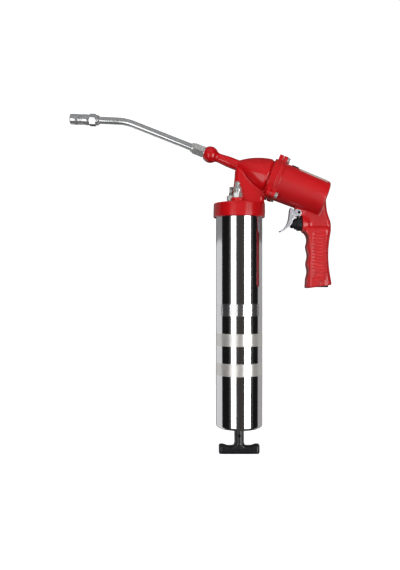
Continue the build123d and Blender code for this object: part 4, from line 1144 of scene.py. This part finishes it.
class GREASEGUN_OT_handle(bpy.types.Operator):
    """Black T-handle on the follower's rod, with its bushing"""

    bl_idname = "grease_gun.handle"
    bl_label = "T-Handle"

    def execute(self, context):
        handle = skinned("tee_handle", handle_field(), "t_handle", sizes().small_cell)
        fitted(handle, "follower", "black_plastic", "t_handle")
        end = -sizes().barrel_drop / MM
        low, step, high = end + 0.02, end + 1.22, end + 3.2
        outline = ((4.05, low), (6.0, low), (6.0, step), (9.0, step), (9.0, high, 0.4), (4.05, high, 0.3))
        bush = Form().turned(rounded(*outline), steps=64)
        fitted(bush.made("rod_bush"), "gun", "black_plastic", "rod_bushing")
        return {"FINISHED"}


# ---- Air inlet ----
class GREASEGUN_OT_inlet(bpy.types.Operator):
    """Threaded air inlet in the grip's foot"""

    bl_idname = "grease_gun.inlet"
    bl_label = "Air Inlet"

    def execute(self, context):
        low, high = foot_at(INLET_X) - 1.4, foot_at(INLET_X) + 12
        thread, pitch = [], 1.34
        for index in range(7):
            z = high - 3.2 - index * pitch
            thread += [(5.85, z), (6.45, z - 0.55), (6.45, z - 0.8)]
        relief = ((3.2, high), (3.2, high - 1.4), (6.2, high - 1.4), (6.2, high - 2.6), (5.72, high - 2.6))
        rim = ((5.9, low + 0.9), (6.5, low), (6.7, low), (7.25, low + 0.6), (7.25, high))
        bush = Form().turned([*relief, *thread, *rim])
        made = bush.made("inlet_thread", grip_frame() @ shift(INLET_X, 0))
        fitted(made, "gun", "dark_steel", "inlet_bushing")
        return {"FINISHED"}


# ---- CAD nodes that stay ----
KEPT = {
    "bright_steel": (
        "follower_rod", "follower_plate", "spring_seat", "plunger", "valve_stem", "check_ball",
        "filler_ball", "coupler_jaws",
    ),
    "spring_steel": (
        "follower_spring", "return_spring", "check_spring", "filler_spring", "bleeder_spring",
        "coupler_spring", "valve_spring",
    ),
    "rubber_seal": (
        "follower_cup", "piston_seal", "plunger_packing", "coupler_seal", "bleeder_seal",
        "poppet_seal", "cap_gasket",
    ),
    "red_satin": ("flange_gasket",),
    "brass_fitting": ("packing_nut", "inlet_screen"),
    "zinc_steel": ("pin_clip", "rod_nut", "piston_nut", "outlet_seal"),
    "dark_steel": ("handle_pin",),
    "piston_alloy": ("air_piston",),
    "black_plastic": ("exhaust_cover",),
    "label_foil": ("label_plate",),
}


class GREASEGUN_OT_kept(bpy.types.Operator):
    """Finishes of the CAD pieces that stay as they are"""

    bl_idname = "grease_gun.kept"
    bl_label = "Inner Pieces"

    def execute(self, context):
        for look, nodes in KEPT.items():
            for node in nodes:
                materials = frame["nodes"][node].data.materials
                materials.clear()
                materials.append(finish(look))
        return {"FINISHED"}


# ---- Stage, in metres ----
# Area lights round the barrel: name, degrees from the camera's side, height, size, watts, lean
# downwards, and whether reflections show them.
LIGHTS = (
    ("softbox_right", 39.5, -0.29, (0.56, 0.9), 7.4, 0.0, True),
    ("softbox_left", -30, -0.29, (0.46, 0.9), 2.8, 0.0, True),
    ("fill_top", -12, 1.1, (1.6, 1.6), 17, 0.8, False),
    ("fill_front", -4, -0.1, (0.8, 0.8), 3.2, 0.0, False),
)
# Upright cards: name, degrees from the camera's side, degrees to either end, lowest, highest, tone.
CARDS = (
    ("card_left", -73, 20, -1.3, 1.1, (0.006, 0.006, 0.006)),
    ("card_right", 84, 16, -1.3, 1.1, (0.006, 0.006, 0.006)),
    ("card_left_back", -126, 30, 0.02, 1.1, (0.28, 0.28, 0.28)),
    ("card_left_low", -126, 30, -1.3, 0.02, (0.72, 0.72, 0.72)),
    ("card_right_back", 130, 27, 0.02, 1.1, (0.16, 0.14, 0.13)),
    ("card_right_low", 130, 27, -1.3, 0.02, (0.42, 0.41, 0.40)),
    ("card_front", 7, 12, -1.3, 1.1, (0.05, 0.042, 0.038)),
)
OVERHEAD = ((-1.2, -1.0, 0.5), (0.5, -1.0, 0.5), (0.5, 0.5, 1.2), (-1.2, 0.5, 1.2))
EYE = (-0.0473, -0.847, -0.0813)
SENSOR, LENS = 36, 44.2  # the camera's, in millimetres
LIGHT_DISTANCE = 1.05
SKY = 0.06  # strength of the even light from all round


def area_light(name, angle, height, size, power, lean, mirrored):
    """An area light that faces the barrel."""
    light = bpy.data.lights.new(name, "AREA")
    light.shape = "RECTANGLE"
    light.size, light.size_y = size
    light.energy = power
    made = linked(name, light)
    turn = math.radians(angle)
    made.location = (LIGHT_DISTANCE * math.sin(turn), -LIGHT_DISTANCE * math.cos(turn), height)
    made.rotation_euler = (math.pi / 2 - lean, 0, turn)
    made.visible_camera = False
    made.visible_glossy = mirrored


def card(name, corners, tone):
    """A glowing studio card that only reflections see."""
    mesh = bpy.data.meshes.new(name)
    mesh.from_pydata(corners, [], [(0, 1, 2, 3)])
    made = linked(name, mesh)
    glow = {"Emission_Color": (*tone, 1), "Emission_Strength": 1.0}
    mesh.materials.append(Finish(name).surface(Base_Color=(0, 0, 0, 1), Roughness=1.0, **glow))
    made.visible_camera = made.visible_diffuse = made.visible_shadow = False


def upright(angle, spread, low, high):
    """Corners of an upright card round the barrel, wide by an angle either way."""
    left, right = math.radians(angle - spread), math.radians(angle + spread)
    corners = ((left, low), (right, low), (right, high), (left, high))
    return [(math.sin(turn), -math.cos(turn), height) for turn, height in corners]


def paper_floor():
    """A pale floor that sweeps up behind into a wall."""
    top = CAD_BOX[0].z - 0.0005
    front, wall, back, height, sole = -3.0, 1.6, 1.9, 3.2, top - 0.3
    upper = ((front, top), (wall, top, 0.9), (wall, height))
    profile = rounded(*upper, (back, height), (back, sole), (front, sole), steps=14)
    points = [(x, y, z) for x in (-4.0, 4.0) for y, z in profile]
    count = len(profile)
    faces = [(i, (i + 1) % count, count + (i + 1) % count, count + i) for i in range(count)]
    mesh = bpy.data.meshes.new("floor")
    mesh.from_pydata(points, [], faces)
    mesh.shade_smooth()
    ground = linked("floor", mesh)
    f = Finish("floor_paper")
    paper = f.mixed(f.spread(f.noise(8, 2), 0, 1), (0.93, 0.93, 0.93), (0.95, 0.95, 0.95))
    glow = {"Emission_Color": (1, 1, 1, 1), "Emission_Strength": 0.8}
    mesh.materials.append(f.surface(Base_Color=paper, Roughness=0.9, Specular_IOR_Level=0.1, **glow))
    ground.visible_glossy = ground.visible_diffuse = False


class GREASEGUN_OT_stage(bpy.types.Operator):
    """Pale floor, soft studio light, dark cards and the camera"""

    bl_idname = "grease_gun.stage"
    bl_label = "Stage"

    def execute(self, context):
        scene = context.scene
        paper_floor()
        world = bpy.data.worlds.new("studio")
        world.use_nodes = True
        world.node_tree.nodes.clear()
        sky = Tree(world.node_tree)
        light = sky.node("ShaderNodeBackground", None, {"Color": (1, 1, 1, 1), "Strength": SKY})
        sky.node("ShaderNodeOutputWorld", None, {"Surface": light})
        scene.world = world
        scene.view_settings.view_transform = "Standard"
        for values in LIGHTS:
            area_light(*values)
        for name, angle, spread, low, high, tone in CARDS:
            card(name, upright(angle, spread, low, high), tone)
        card("card_overhead", OVERHEAD, (0.16, 0.16, 0.17))

        view = bpy.data.cameras.new("camera")
        view.sensor_width, view.lens = SENSOR, LENS
        view.clip_start = 0.01
        eye = linked("camera", view)
        eye.location = EYE
        eye.rotation_euler = (math.pi / 2, 0, 0)
        scene.camera = eye
        return {"FINISHED"}


# ---- Panel ----
STEPS = (
    GREASEGUN_OT_stage,
    GREASEGUN_OT_barrel,
    GREASEGUN_OT_head,
    GREASEGUN_OT_grip,
    GREASEGUN_OT_screws,
    GREASEGUN_OT_fittings,
    GREASEGUN_OT_pipe,
    GREASEGUN_OT_coupler,
    GREASEGUN_OT_trigger,
    GREASEGUN_OT_valve,
    GREASEGUN_OT_handle,
    GREASEGUN_OT_inlet,
    GREASEGUN_OT_kept,
)


class GREASEGUN_PT_panel(bpy.types.Panel):
    bl_idname = "GREASEGUN_PT_panel"
    bl_label = "Grease Gun"
    bl_space_type = "VIEW_3D"
    bl_region_type = "UI"
    bl_category = "Grease Gun"

    def draw(self, context):
        for group in (context.scene.grease_gun_sizes, context.scene.grease_gun_colours):
            box = self.layout.box()
            for name in group.__annotations__:
                box.prop(group, name)
        for step in STEPS:
            self.layout.operator(step.bl_idname)


CLASSES = (GreaseGunSizes, GreaseGunColours, *STEPS, GREASEGUN_PT_panel)


def register():
    for item in CLASSES:
        bpy.utils.register_class(item)
    bpy.types.Scene.grease_gun_sizes = PointerProperty(type=GreaseGunSizes)
    bpy.types.Scene.grease_gun_colours = PointerProperty(type=GreaseGunColours)


def unregister():
    del bpy.types.Scene.grease_gun_colours
    del bpy.types.Scene.grease_gun_sizes
    for item in reversed(CLASSES):
        bpy.utils.unregister_class(item)


def main():
    register()
    for step in STEPS:
        group, name = step.bl_idname.split(".")
        getattr(getattr(bpy.ops, group), name)()


if __name__ == "__main__":
    main()
